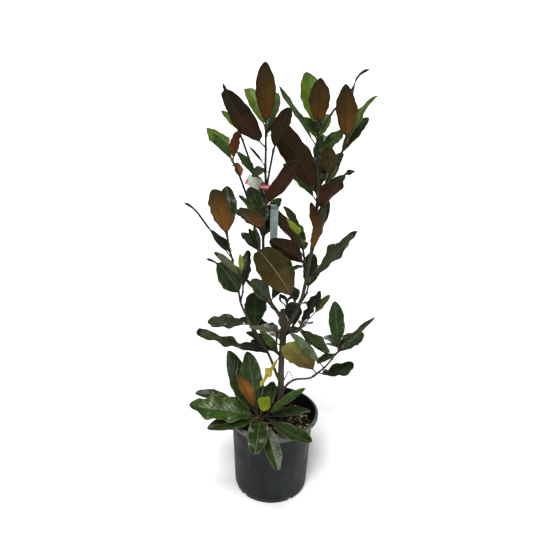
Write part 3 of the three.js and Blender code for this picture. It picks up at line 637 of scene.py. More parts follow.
# the lower faces by tint: the colour, the one it is clouded with, and those of its tip and its foot
UNDERS = {tint: leaf_under(f"leaf_under_{tint}", *look) for tint, look in {
    "rust": ("#5d3e12", "#472e0f"),
    "brown": ("#493512", "#39280d"),
    "umber": ("#2b1e0c", "#1e1408", "#15140a", "#2f1b0c"),
    "maroon": ("#321e0f", "#25150a", "#1a130a", "#38200f"),
    "red": ("#5b2a15", "#43200f", "#3a2312", "#5b2a15"),
    "orange": ("#7a521e", "#5c3812", "#2f280f", "#2a1d0c"),
    "olive": ("#3d3415", "#2a200b", "#26270f", "#51442a"),
    "tan": ("#6b652e", "#50411d", "#70773a", "#3d2a14"),
    "lime": ("#7c8b22", "#61701b", "#7c8b22", "#61701b"),
    "slate": ("#1f1911", "#120f0a", "#120f0a", "#1f1911"),
    "yellow": ("#a5982d", "#827b24", "#6a5c1c", "#827b24"),
}.items()}
RIB_TOP = plain_growth("leaf_rib_top", "#474f2a", "#363e1e", 0.4)
RIB_PALE = plain_growth("leaf_rib_pale", "#57562d", "#474726", 0.5)
RIB_BROWN = plain_growth("leaf_rib_brown", "#271609", "#1b0e07", 0.6)
# the leaf's edge faces, and on some upper tints also a painted highlight along the edge
MARGIN_AND_HIGHLIGHT = plain_growth("leaf_margin_and_highlight", "#4c532e", "#383f20", 0.45)
STALK_SKIN = plain_growth("leaf_stalk", "#292714", "#1d170e", 0.55)
DRY = plain_growth("leaf_dry", "#18120d", "#0e0a07", 0.6)
LEAF_SKINS = [*TOPS.values(), *UNDERS.values(), RIB_TOP, RIB_PALE, RIB_BROWN, MARGIN_AND_HIGHLIGHT, STALK_SKIN, DRY]
TWIG_SKIN = plain_growth("twig_bark", "#262117", "#17140e", 0.65, 160)
BUD_SKIN = plain_growth("bud_silk", "#544a30", "#3a2f1e", 0.55, 200)


# ---- meshes ----

BOX_CORNERS = np.array([[x, y, z] for x in (-1, 1) for y in (-1, 1) for z in (-1, 1)], float)
BOX_QUADS = [[0, 1, 3, 2], [4, 6, 7, 5], [0, 4, 5, 1], [2, 3, 7, 6], [0, 2, 6, 4], [1, 5, 7, 3]]


def placed(name, data):
    """A new object in the scene."""
    made = bpy.data.objects.new(name, data)
    bpy.context.scene.collection.objects.link(made)
    return made


def as_modified(made):
    """A new mesh of the object with its modifiers."""
    bpy.context.view_layer.update()
    return bpy.data.meshes.new_from_object(made.evaluated_get(bpy.context.evaluated_depsgraph_get()))


def piece(made, slot, *nodes):
    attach(made, "root")
    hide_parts(*nodes)


class Pile:
    """Quads gathered from many small forms, each with its material's number and a value at its corners."""

    def __init__(self):
        self.points, self.quads, self.skins, self.marks, self.count = [], [], [], [], 0

    def add(self, points, quads, skins, marks=None):
        self.points.append(points)
        self.quads.append(np.asarray(quads) + self.count)
        self.skins.append(np.broadcast_to(skins, len(quads)))
        self.marks.append(np.zeros((len(points), 3)) if marks is None else marks)
        self.count += len(points)

    def made(self, name, materials, sharp_from=None):
        """The pile as one object, in metres."""
        points, quads = np.concatenate(self.points) * MM, np.concatenate(self.quads)
        mesh = bpy.data.meshes.new(name)
        mesh.vertices.add(len(points))
        mesh.vertices.foreach_set("co", points.astype(np.float32).ravel())
        mesh.loops.add(quads.size)
        mesh.loops.foreach_set("vertex_index", quads.astype(np.int32).ravel())
        mesh.polygons.add(len(quads))
        mesh.polygons.foreach_set("loop_start", np.arange(0, quads.size, 4, dtype=np.int32))
        mesh.polygons.foreach_set("material_index", np.concatenate(self.skins).astype(np.int32))
        for material in materials:
            mesh.materials.append(material)
        attribute = mesh.attributes.new("blade", "FLOAT_VECTOR", "POINT")
        attribute.data.foreach_set("vector", np.concatenate(self.marks).astype(np.float32).ravel())
        mesh.update(calc_edges=True)
        mesh.validate()
        mesh.shade_smooth()
        if sharp_from:
            mesh.set_sharp_from_angle(angle=math.radians(sharp_from))
        return placed(name, mesh)


def ring_quads(rings, sides, closed=False):
    """The quads between rings that run clockwise seen from the far end; closed joins last to first."""
    k, i = np.meshgrid(np.arange(rings if closed else rings - 1), np.arange(sides), indexing="ij")
    a, b, j = k * sides, (k + 1) % rings * sides, (i + 1) % sides
    return np.stack([a + i, b + i, b + j, a + j], axis=-1).reshape(-1, 4)


def tube_quads(rings, sides):
    """A tube of even rings, then its two ends, closed by quads between the halves of their rings."""
    i = np.arange(sides // 2 - 1)
    end = np.stack([i, i + 1, sides - 2 - i, sides - 1 - i], axis=-1)
    return np.concatenate([ring_quads(rings, sides), end, end[:, ::-1] + (rings - 1) * sides])


def clockwise(sides):
    angle = -2 * np.pi * np.arange(sides) / sides
    return np.cos(angle), np.sin(angle)


def ring_points(station, radius, sides):
    x, y = clockwise(sides)
    return station.point + np.outer(x * radius, station.side) + np.outer(y * radius, station.up)


def tube(pile, stations, radii, sides, skins):
    """A closed tube; skins is one material number, or one for each station, whose first takes the ends."""
    points = np.concatenate([ring_points(s, r, sides) for s, r in zip(stations, radii)])
    if np.ndim(skins):
        skins = np.concatenate([np.repeat(skins[1:], sides), np.full(sides - 2, skins[0])])
    pile.add(points, tube_quads(len(stations), sides), skins)


def flat_ring(columns):
    """A flat ring over its upper and back along its lower side: its places across, and 1 or -1."""
    return np.concatenate([columns, columns[::-1]]), np.repeat([1.0, -1.0], len(columns))


# ---- fine leaves ----

LEAF_PIECES = 50
# how a blade departs from the plain one: the size and number of its margin's waves, how far it folds, how
# torn its edges are, the part of it that is drawn out thin at the foot or the tip, the radius of its curled
# end, how much fuller and how much more pointed it is, how far it sways sideways, where it turns dry, and
# whether the rib of its lower face is pale
LEAF_SHAPE = {"wave": 0.07, "waves": 2.4, "fold": LEAF_FOLD, "ragged": 0.03, "start": 0, "tail": 0,
              "knob": 3.6, "full": 1.1, "point": 0.25, "sway": 0, "dry": 0.985, "pale_rib": False}
V, UPPER = flat_ring(np.array([-1, -0.88, -0.62, -0.34, -0.04, 0, 0.04, 0.34, 0.62, 0.88, 1]))
OUT, ON_LEFT = np.abs(V), V > 0
RING = len(V)
STALK_R = 1.6
STALK_FOOT = {"swell": 0.35, "fade": 30}
STALK_SIDE = 0.94  # how far round the stalk's side the blade's upper and lower columns reach
PETIOLE_JOIN = 0.07  # part of the blade over which the round stalk flattens into it
RIPPLE = {"size": 0.05, "pace": 9}
CURL = {"span": (0.75, 0.9), "left_lag": 1.9, "outward": 1.8, "endward": 0.6}
CRINKLE = {"size": 0.035, "pace": 2.3, "slant": 4}
TWIST = {"range": 26, "from": 0.3, "to": 0.95}
FOLD_OUTWARD = 1.2
THICKNESS = {"half": 0.42, "lost_at_margin": 0.45}
MIDRIB = {"radius": 1.5, "fade": 0.8, "width": 0.06, "below": -1, "above": -0.18}
TEARS = {"slow": 13, "fast": 29, "shift": 9, "left_lag": 2, "slant": 5, "narrowed": 0.06}
TAIL = {"radius": 2.2, "knob_at": 0.93, "knob_length": 0.06, "rolls_from": 0.96, "rolled_at": 1.03}
THINNEST = {"blade": 0.5, "tip": 0.25, "slope": 60}
DRY_TAIL = 1.04  # where a blade without a drawn-out tip would turn dry; a tail moves it back
PAINTED_EDGE_HIGHLIGHT_TINTS = ("dark", "green", "gloss", "bright")  # upper tints whose outer top columns take the margin colour as a painted highlight along the edge


def smooth_step(x, low, high):
    x = np.clip((x - low) / (high - low), 0, 1)
    return x * x * (3 - 2 * x)


def half_widths(leaf, shape, t, blade, ripple):
    """Half the blade's width along it, nowhere thinner than its tip or its curled tail."""
    knob = (shape["knob"] - TAIL["radius"]) * np.exp(-((t - TAIL["knob_at"]) / TAIL["knob_length"]) ** 2)
    curled = TAIL["radius"] * (1.5 - 0.5 * t) + knob
    thin = np.minimum(THINNEST["tip"] + (1 - t) * THINNEST["slope"],
                      curled if shape["tail"] else THINNEST["blade"])
    outline = blade_outline(blade) ** (1 + shape["point"] * blade.clip(0, 1))
    waved = 1 + ripple * np.sin(RIPPLE["pace"] * t)
    return np.maximum(shape["full"] * leaf.width / 2 * outline * waved, thin)


def blade_section(shape, t, half, shift, curl):
    """How far each point of the blade's rings lies across and up from the midrib."""
    swell = np.sin(np.pi * t)
    angle = 2 * np.pi * (shape["waves"] * t + shift) + CURL["left_lag"] * ON_LEFT
    wave = curl * OUT ** CURL["outward"] * np.sin(angle) * swell ** CURL["endward"]
    wave = wave + CRINKLE["size"] * np.sin(angle * CRINKLE["pace"] + CRINKLE["slant"] * V) * OUT * swell
    lift = half * (shape["fold"] * OUT ** FOLD_OUTWARD + wave)
    thick = THICKNESS["half"] * (1 - THICKNESS["lost_at_margin"] * OUT)
    rib = MIDRIB["radius"] * (1 - MIDRIB["fade"] * t) * np.exp(-(V / MIDRIB["width"]) ** 2)
    up = lift + UPPER * thick + rib * np.where(UPPER < 0, MIDRIB["below"], MIDRIB["above"])
    torn = np.sin(TEARS["slow"] * t + TEARS["shift"] * shift + TEARS["left_lag"] * ON_LEFT)
    torn = torn + np.sin(TEARS["fast"] * t + TEARS["slant"] * V)
    return half * V * (1 - TEARS["narrowed"] * OUT) * (1 + shape["ragged"] * torn * OUT ** 2), up


def leaf_skins(leaf, shape, t, foot):
    """The material numbers of a leaf's quads: ring by ring from the foot, then the two ends."""
    number = LEAF_SKINS.index
    last = RING // 2 - 1
    middle = last // 2
    row = np.full(RING, number(TOPS[leaf.top]))
    row[last + 1:] = number(UNDERS[leaf.under])
    row[[last, -1]] = number(MARGIN_AND_HIGHLIGHT)
    # the outermost columns of these tops take the margin colour: a painted highlight
    if leaf.top in PAINTED_EDGE_HIGHLIGHT_TINTS:
        row[[0, last - 1]] = number(MARGIN_AND_HIGHLIGHT)
    row[middle - 1:middle + 1] = number(RIB_TOP)
    pale = shape["pale_rib"] or leaf.under == "lime"
    row[last + middle:last + middle + 2] = number(RIB_PALE if pale else RIB_BROWN)
    skins = np.tile(row, (len(t) - 1, 1))
    ahead = t[1:, 0]
    skins[ahead <= foot + PETIOLE_JOIN] = number(STALK_SKIN)
    skins[ahead > min(shape["dry"], DRY_TAIL - shape["tail"])] = number(DRY)
    return np.append(skins, np.full(RING - 2, number(STALK_SKIN)))


def fine_leaf(pile, leaf, draws):
    """One closed body from the stalk's foot to the leaf's tip, its ring flattening from stalk to blade."""
    spine = leaf_spine(leaf, LEAF_PIECES)
    shape = {**LEAF_SHAPE, **leaf.shape}
    shift, ripple = next(draws), RIPPLE["size"] * (next(draws) - 0.5)
    curl = shape["wave"] * drawn(draws, CURL["span"])
    twist = TWIST["range"] * (next(draws) - 0.5)
    foot, tail = max(shape["start"], 0), shape["tail"]
    t = np.clip((spine.s - STALK) / (1 - STALK), 0, 1)[:, None]
    blade = (t - shape["start"]) / (1 - shape["start"] - tail)
    half = half_widths(leaf, shape, t, blade, ripple)
    rolled = smooth_step(t, TAIL["rolls_from"] - tail, TAIL["rolled_at"] - tail) * (tail > 0)
    flat = smooth_step(t, foot, foot + PETIOLE_JOIN) * (1 - rolled)
    turned = np.radians(twist * smooth_step(t, TWIST["from"], TWIST["to"]))
    side = spine.side * np.cos(turned) + spine.face * np.sin(turned)
    face = np.cross(spine.along, side)

    stalk_r = STALK_R * (1 + STALK_FOOT["swell"] * np.exp(-spine.s[:, None] * STALK_FOOT["fade"]))
    stalk_r = stalk_r + (half - stalk_r) * rolled
    turn = np.pi / 2 * STALK_SIDE * V
    stalk_across, stalk_up = stalk_r * np.sin(turn), stalk_r * UPPER * np.cos(turn)
    blade_across, blade_up = blade_section(shape, t, half, shift, curl)
    across = stalk_across + (blade_across - stalk_across) * flat
    across = across + shape["sway"] * leaf.length * np.sin(2 * np.pi * t)
    up = stalk_up + (blade_up - stalk_up) * flat
    points = spine.point[:, None] + side[:, None] * across[..., None] + face[:, None] * up[..., None]
    marks = np.stack(np.broadcast_arrays(blade, V, 0.0), axis=-1)
    pile.add(points.reshape(-1, 3), tube_quads(len(t), RING), leaf_skins(leaf, shape, t, foot),
             marks.reshape(-1, 3))


# ---- fine twigs ----

TWIG_STEP, TWIG_SIDES = 3, 10
SCAR = {"rise": 0.5, "length": 2.2, "highest": 0.8}
TWIG_FOOT = {"swell": 1.4, "fade": 5}
BUD_PLACES = np.linspace(0.08, 1.0, 9)
BUD_PROFILE = {"fuller": 0.2, "start": 0.35, "power": 0.8, "tip": 0.08}
SPUR_COUNT, SPUR_SIDES, SPUR_LEAN = 3, 8, 0.8
SPUR_STATIONS = slice(3, -2)  # the part of a stem that may bear one
SPUR_LENGTH = (6, 5)  # a span: its least and its range, as drawn() takes it
SPUR_RINGS = [(0, 1.5), (0.3, 1.2), (0.55, 1.3), (0.7, 1.5), (0.85, 1.0), (1.0, 0.25)]  # along, radius
DEAD_STEP, DEAD_SIDES, DEAD_TIP_R = 1.5, 8, 0.3
DEAD_KNOTS = (0.75, 0.6)
TWIG_SKINS = [TWIG_SKIN, BUD_SKIN, DRY]
ON_TWIG, ON_BUD, ON_DEAD = range(3)


def beyond(station, distance):
    return SimpleNamespace(**{**vars(station), "point": station.point + station.along * distance})


def spur(pile, base, draws):
    """A short knobbed side shoot from somewhere round a twig."""
    angle = 2 * np.pi * next(draws)
    out = unit(base.side * math.cos(angle) + base.up * math.sin(angle) + base.along * SPUR_LEAN)
    side = unit(np.cross(out, base.along))
    start = SimpleNamespace(point=base.point, along=out, side=side, up=np.cross(out, side))
    reach = drawn(draws, SPUR_LENGTH)
    places, radii = zip(*SPUR_RINGS)
    tube(pile, [beyond(start, place * reach) for place in places], radii, SPUR_SIDES, ON_BUD)


def fine_twig(pile, plan, draws):
    """A stem with ringed scars where its leaves leave it, a pointed bud, and a few spurs."""
    stem, length = stations_along(plan.stem, TWIG_STEP), curve_length(plan.stem)
    foot_r = min(LIMBS[plan.limb]["tip"] / 2, BUD_R)
    radii = []
    for s in stem:
        scars = sum(SCAR["rise"] * math.exp(-((s.at - one.at) * length / SCAR["length"]) ** 2)
                    for one in plan.leaves)
        swell = TWIG_FOOT["swell"] * math.exp(-s.at * length / TWIG_FOOT["fade"])
        radii.append(foot_r + (STEM_TIP_R - foot_r) * s.at + min(scars, SCAR["highest"]) + swell)
    for place in BUD_PLACES:
        turn = BUD_PROFILE["start"] + (1 - BUD_PROFILE["start"]) * place
        profile = math.sin(math.pi * turn) ** BUD_PROFILE["power"] if place < 1 else BUD_PROFILE["tip"]
        radii.append((BUD_R + BUD_PROFILE["fuller"]) * profile)
    bud = [beyond(stem[-1], place * BUD_LENGTH) for place in BUD_PLACES]
    tube(pile, stem + bud, radii, TWIG_SIDES, [ON_TWIG] * len(stem) + [ON_BUD] * len(bud))
    bare = stem[SPUR_STATIONS]
    for _ in range(SPUR_COUNT):
        spur(pile, bare[int(next(draws) * len(bare))], draws)


def dead_twigs(pile):
    draws = draws_for("dead")
    for points, foot, tip in DEAD_TWIGS:
        stations = stations_along(points, DEAD_STEP)
        radii = [(foot + (tip - foot) * s.at) * drawn(draws, DEAD_KNOTS) for s in stations]
        tube(pile, stations, [*radii[:-1], DEAD_TIP_R], DEAD_SIDES, ON_DEAD)


# ---- bark ----

BARK_VOXEL = 1.0 * MM
LIMB_STATIONS, LIMB_SIDES = 2.5, 24
BARK_RING = {"first": (18, 20), "apart": (16, 34), "rise": 0.07, "length": 1.6}
COLLAR = {"rise": 0.28, "flat": 8, "fade": 9}
BARK_RELIEF = [(0.35, (260, 260, 60)), (0.22, (700, 700, 180))]  # its height, and its pace by axis


def limb_radii(name, limb, stations):
    """A limb's radii with the low rings of old growth, and a collar where it leaves another limb."""
    draws, length, rings = draws_for(name), curve_length(limb["through"]), []
    place = drawn(draws, BARK_RING["first"])
    while place < length:
        rings.append(place)
        place += drawn(draws, BARK_RING["apart"])
    radii = []
    for s in stations:
        far = s.at * length
        ridge = sum(BARK_RING["rise"] * math.exp(-((far - ring) / BARK_RING["length"]) ** 2)
                    for ring in rings)
        collar = COLLAR["rise"] * math.exp(-max(0, far - COLLAR["flat"]) / COLLAR["fade"])
        radii.append(limb_radius(limb, s.at) * (1 + ridge + (collar if name != "trunk" else 0)))
    return radii


def bark_piece():
    """Trunk and boughs as one skin: tubes joined by a remesh, so that forks blend, then given relief."""
    pile = Pile()
    for name, limb in LIMBS.items():
        stations = stations_along(limb["through"], LIMB_STATIONS)
        tube(pile, stations, limb_radii(name, limb, stations), LIMB_SIDES, 0)
    rough = pile.made("bark", [])
    remesh = rough.modifiers.new("join", "REMESH")
    remesh.mode, remesh.voxel_size = "VOXEL", BARK_VOXEL
    smooth = rough.modifiers.new("ease", "SMOOTH")
    smooth.iterations, smooth.factor = 4, 0.5
    mesh = as_modified(rough)
    bpy.data.objects.remove(rough)
    co, normal = np.zeros(len(mesh.vertices) * 3), np.zeros(len(mesh.vertices) * 3)
    mesh.vertices.foreach_get("co", co)
    mesh.vertices.foreach_get("normal", normal)
    relief = np.array([sum(height * noise.noise(Vector(p * pace)) for height, pace in BARK_RELIEF)
                       for p in co.reshape(-1, 3)])
    co = co + normal * np.repeat(relief, 3) * MM
    mesh.vertices.foreach_set("co", co.astype(np.float32))
    mesh.update()
    mesh.shade_smooth()
    mesh.materials.append(bark_material())
    piece(placed("trunk_and_boughs", mesh), "bark", *LIMBS)


def bark_material():
    """Young bark: streaked along the stem, with greener patches and raised pale flecks."""
    s = Shading("young_bark", 0.78, 0.3)
    base = s.mix(s.ramp(s.noise(70, 5, (1, 1, 0.3)), 0.36, 0.66), "#362f1f", "#262115")
    base = s.mix(s.ramp(s.noise(24, 3), 0.5, 0.7, 0, 0.55), base, "#42432e")
    flecks = s.ramp(s.noise(420, 2, (1, 1, 2.6)), 0.63, 0.7, 0, 0.6)
    s.join(s.mix(flecks, base, "#64583f"), "Base Color")
    s.bump(s.plus(s.noise(500, 5, (1, 1, 0.25)), s.times(flecks, 0.6)), 0.0007, 0.8)
    return s.material


# ---- the pot ----

POT_HEIGHT = 245
POT_LIP_R = 127.5
POT_LIP = [(3.6, 13), (2.5, 11), (0, 9), (0, 3), (2.5, 0.8), (8.5, 0), (10.5, 2), (11.5, 8)]  # in, down
POT_COLLAR_FOOT = 213
POT_COLLAR_STEP = [(-0.3, -3), (0, 0), (2, 5)]  # out, up
POT_TOP_R = 111.4
POT_LOW_R = 102.4
POT_FOOT_R = 96.8
POT_FOOT_HEIGHT = 17.5
POT_HOLE_R = 6
POT_WALL = 2.5
POT_LEAN = 0.33  # how far the collar leans out for its height
POT_INNER_DAMP_AND_SHADE = {"ends": (0.5, 2), "deepest": (40, 50)}  # where the darker inner side, damp and painted shade, ends: out from the inner wall, and below the rim
POT_COLLAR_FADE = 10
POT_SEGMENTS = 240
NOTCH = {"width": 15, "height": 11, "depth": 24, "groups": 3, "pair_half_angle": 19, "first_group": -36,
         "sharp_from": 38}


def lathe(pile, profile, sides):
    """A closed ring-shaped body from a closed profile of (radius, height) that runs up the outside."""
    x, y = clockwise(sides)
    rings = [np.column_stack([x * r, y * r, np.full(sides, z)]) for r, z in profile]
    pile.add(np.concatenate(rings), ring_quads(len(profile), sides, closed=True), 0)


def eased(profile, radius=1.0, steps=3, most=0.4):
    """The profile with its corners rounded, by the radius or by most of a short side."""
    points, made = [np.array(p, float) for p in profile], []
    for before, p, after in zip([points[-1]] + points[:-1], points, points[1:] + [points[0]]):
        back, on = before - p, after - p
        cut = min(radius, most * np.linalg.norm(back), most * np.linalg.norm(on))
        a, b = p + unit(back) * cut, p + unit(on) * cut
        for w in np.linspace(0, 1, steps):
            made.append((1 - w) ** 2 * a + 2 * w * (1 - w) * p + w * w * b)
    return made


def notch_blocks():
    """The blocks that cut the drain notches, in pairs, out of the pot's foot."""
    pile = Pile()
    block = BOX_CORNERS * [NOTCH["depth"] / 2, NOTCH["width"] / 2, NOTCH["height"]] + [POT_LOW_R, 0, 0]
    for group in range(NOTCH["groups"]):
        for half in (-1, 1):
            angle = math.radians(NOTCH["first_group"] + 360 / NOTCH["groups"] * group
                                 + half * NOTCH["pair_half_angle"])
            c, s = math.cos(angle), math.sin(angle)
            pile.add(block @ np.array([[c, s, 0], [-s, c, 0], [0, 0, 1]]), BOX_QUADS, 0)
    return pile.made("notches", [])


def pot_piece():
    profile = [
        [POT_HOLE_R, 0], [POT_FOOT_R, 0], [POT_LOW_R, POT_FOOT_HEIGHT],
        *([POT_TOP_R + out, POT_COLLAR_FOOT + up] for out, up in POT_COLLAR_STEP),
        *([POT_LIP_R - inward, POT_HEIGHT - down] for inward, down in POT_LIP),
        [POT_TOP_R - POT_WALL, POT_COLLAR_FOOT + POT_WALL], [POT_LOW_R - POT_WALL, POT_FOOT_HEIGHT],
        [POT_FOOT_R - POT_WALL, POT_WALL], [POT_HOLE_R, POT_WALL],
    ]
    pile = Pile()
    lathe(pile, eased(profile), POT_SEGMENTS)
    pot, blocks = pile.made("nursery_pot", [pot_material()], sharp_from=40), notch_blocks()
    cut = pot.modifiers.new("notches", "BOOLEAN")
    cut.operation, cut.object, cut.solver = "DIFFERENCE", blocks, "EXACT"
    mesh = as_modified(pot)
    pot.modifiers.clear()
    pot.data = mesh
    bpy.data.objects.remove(blocks)
    mesh.set_sharp_from_angle(angle=math.radians(NOTCH["sharp_from"]))
    piece(pot, "pot_plastic", "pot")


def pot_material():
    """Black plastic: streaked, dusty and scuffed, lumpy on the collar and lighter grey there from wear and a
    painted highlight, darker inside from damp and painted shade.
    """
    s = Shading("black_plastic", 0.55, 0.1)
    streak = s.noise(30, 4, (1, 1, 0.12))
    base = s.mix(s.ramp(streak, 0.35, 0.68), "#131615", "#1e2221")
    base = s.mix(s.ramp(s.noise(11, 6), 0.5, 0.72, 0, 0.5), base, "#2c322f")
    scuff = s.ramp(s.noise(46, 2, (2.4, 2.4, 0.35), 1.6), 0.71, 0.76, 0, 0.45)
    base = s.mix(scuff, base, "#6b6e6b")
    x, y, height = s.node("ShaderNodeSeparateXYZ", {0: s.place}).outputs
    across = s.math("SQRT", s.plus(s.times(x, x), s.times(y, y)))
    wall = (POT_TOP_R - POT_WALL - POT_LEAN * POT_COLLAR_FOOT) * MM
    ends = [wall + out * MM for out in POT_INNER_DAMP_AND_SHADE["ends"]]
    deepest = [(POT_HEIGHT - down) * MM for down in POT_INNER_DAMP_AND_SHADE["deepest"]]
    outside = s.ramp(s.plus(across, s.times(height, -POT_LEAN)), *ends)
    outside = s.math("MAXIMUM", outside, s.ramp(height, *deepest))
    # the inner side darkened: partly damp, partly painted shade
    base = s.mix(outside, "#0b0d0c", base)
    collar_top = (POT_COLLAR_FOOT + POT_COLLAR_FADE) * MM
    collar = s.times(s.ramp(height, POT_COLLAR_FOOT * MM, collar_top), outside)
    # the collar lighter grey all round: partly wear, partly a painted highlight on the lip
    wear_and_painted_highlight = s.times(collar, s.ramp(s.noise(120, 4), 0.42, 0.66, 0.3, 0.95))
    s.join(s.mix(wear_and_painted_highlight, base, "#6a6d6b"), "Base Color")
    s.join(s.ramp(s.noise(18, 4), 0.35, 0.7, 0.38, 0.6), "Roughness")
    grain = s.plus(streak, s.times(s.noise(320, 3), 0.2))
    s.bump(s.plus(grain, s.times(s.times(collar, s.noise(150, 3)), 2.5)), 0.0006, 0.5)
    return s.material


# ---- the soil ----

SOIL_TOP = 200
SOIL_RINGS, SOIL_SIDES = 60, 180
SOIL_LUMPS = [(4, 22, 0), (3, 7, 4)]  # how high, how wide, and the level of the noise
SOIL_SUNK = 1.5
SOIL_GAPS = (1, 0.6, 0.3)  # to the pot's wall, at the floor, above the foot and at the top
SOIL_MIDDLE_R = 0.4
CHIP_COUNT = 1500
CHIP_SIZE = [(2, 8, 1.5), (1.5, 3.6, 1), (0.7, 2, 1)]  # by axis: the least, the range, the draw's power
CHIP_TILT = 0.7
CHIP_UNEVEN = (0.6, 0.5)  # what each corner keeps of its size
CHIP_LIFT = (0.5, 2.5)
CHIP_CLEAR = 4  # of the pot's wall
CHIP_SHARES = [0.5, 0.82, 1]  # up to which a draw makes a dark, brown or pale chip
CHIP_TINTS = {"dark": ("#1d1712", "#110d0a"), "brown": ("#3a2b1c", "#231a12"), "pale": ("#b3a487", "#7a6b53")}


def soil_lump(x, y):
    return sum(high * noise.noise(Vector((x / wide, y / wide, level)))
               for high, wide, level in SOIL_LUMPS) - SOIL_SUNK


def chip(inner, draws):
    """One uneven block of bark: its corners, somewhere on the soil."""
    far, angle = (inner - CHIP_CLEAR) * math.sqrt(next(draws)), 2 * math.pi * next(draws)
    size = np.array([least + extra * next(draws) ** power for least, extra, power in CHIP_SIZE])
    kept = [drawn(draws, CHIP_UNEVEN) for _ in BOX_CORNERS]
    corners = BOX_CORNERS * size * np.array(kept)[:, None]
    tilt = Matrix.Rotation(2 * math.pi * next(draws), 3, "Z")
    for axis in "XY":
        tilt = tilt @ Matrix.Rotation(CHIP_TILT * (next(draws) - 0.5), 3, axis)
    centre = [far * math.cos(angle), far * math.sin(angle), SOIL_TOP + drawn(draws, CHIP_LIFT)]
    return corners @ np.array(tilt).T + centre


def soil_piece():
    """The bark mix: a filled, uneven body, with chips of bark lying on it."""
    pile, draws = Pile(), draws_for("soil")
    risen = (SOIL_TOP - POT_FOOT_HEIGHT) / (POT_COLLAR_FOOT + POT_WALL - POT_FOOT_HEIGHT)
    walls = (POT_FOOT_R, POT_LOW_R, POT_LOW_R + (POT_TOP_R - POT_LOW_R) * risen)
    radii = [wall - POT_WALL - gap for wall, gap in zip(walls, SOIL_GAPS)]
    inner = radii[-1]
    radii += list(np.linspace(inner, SOIL_MIDDLE_R, SOIL_RINGS)[1:])
    heights = [POT_WALL + 0.5, POT_FOOT_HEIGHT] + [SOIL_TOP] * SOIL_RINGS
    rings = []
    for k, (r, z) in enumerate(zip(radii, heights)):
        x, y = (r * circle for circle in clockwise(SOIL_SIDES))
        lumps = [soil_lump(a, b) if k >= len(walls) else 0 for a, b in zip(x, y)]
        rings.append(np.column_stack([x, y, z + np.array(lumps)]))
    pile.add(np.concatenate(rings), tube_quads(len(rings), SOIL_SIDES), 0)
    for _ in range(CHIP_COUNT):
        corners = chip(inner, draws)
        pile.add(corners, BOX_QUADS, np.searchsorted(CHIP_SHARES, next(draws)) + 1)
    skins = [plain_growth("bark_mix", "#17120e", "#0c0a08", 0.9, 300, 0.002)]
    skins += [plain_growth(f"bark_chip_{tint}", *colours, 0.85, 260, 0.001)
              for tint, colours in CHIP_TINTS.items()]
    piece(pile.made("bark_mix", skins, sharp_from=35), "bark_mix", "soil")


# ---- the labels hung on the left leader ----

LOOP_LABEL = {
    "plate": {"size": [36, 1.2, 26], "centre": [-60, -62, 924], "tilt": 24},
    "strap": {"size": [30, 1.2, 10], "centre": [-36, -62, 913], "tilt": 4},
    "ring": {"z": 912, "radius": 10},
}
HANGING_TAG = {"top": [-10, -8, 848], "width": 19, "length": 98, "thickness": 1.2, "above_tie": 4,
               "ring": {"z": 862, "radius": 7.5}}
CARD_CORNER = 2.5
CARD_WARP = {"size": 0.25, "along": 4, "across": 2}  # of its curl
CARD_END = 0.3  # half the width left at the very end of a round end
CARD_ACROSS = np.array([-1, -0.96, -0.7, -0.35, 0, 0.35, 0.7, 0.96, 1])
CARD_ALONG = np.array([-1, -0.995, -0.985, *np.linspace(-0.96, 0.96, 25), 0.985, 0.995, 1])
LABEL_CURL, TAG_CURL = 0.5, 0.4
WIRE = {"radius": 1, "sides": 8, "rings": 64, "pull": 6, "tied_within": 4}
LABEL_LOOKS = {
    "label_card": ("#aeb3a6", "#8f9587", 0.5, 60),
    "label_pink": ("#c23f5c", "#a22f48", 0.5, 90),
    "label_wire": ("#b8bcb6", "#989d97", 0.45, 200),
    "tag_card": ("#8b9a97", "#74837f", 0.5, 50),
    "tag_top": ("#66736c", "#515c55", 0.5, 80),
}
ON_CARD, ON_PINK, ON_WIRE, ON_TAG, ON_TAG_TOP = range(5)


def card(pile, centre, along, across, size, thickness, curl, skin_at, round_end):
    """A thin card as one closed body: corners rounded, its long axis curled a little."""
    along, across = unit(np.array(along, float)), unit(np.array(across, float))
    face, (length, width), u = np.cross(along, across), size, CARD_ALONG
    inset = np.clip(CARD_CORNER - (1 - np.abs(u)) * length / 2, 0, CARD_CORNER)
    half = width / 2 - CARD_CORNER + np.sqrt(CARD_CORNER ** 2 - inset ** 2)
    if round_end:
        far = np.clip(width / 2 - (1 - u) * length / 2, 0, width / 2)
        half = np.minimum(half, np.maximum(np.sqrt((width / 2) ** 2 - far ** 2), CARD_END))
    v, upper = flat_ring(CARD_ACROSS)
    warp = CARD_WARP["size"] * curl * np.sin(CARD_WARP["along"] * u[:, None] + CARD_WARP["across"] * v)
    bow = curl * (1 - u[:, None] ** 2) + warp
    points = (np.array(centre, float) + along * (u * length / 2)[:, None, None]
              + across * (half[:, None] * v)[..., None]
              + face * (bow + upper * thickness / 2)[..., None])
    skins = [skin_at(a, b) for a in (u[1:] + u[:-1]) / 2 for b in (v + np.roll(v, -1)) / 2]
    skins += [skin_at(1, 0)] * (len(v) - 2)
    pile.add(points.reshape(-1, 3), tube_quads(len(u), len(v)), skins)


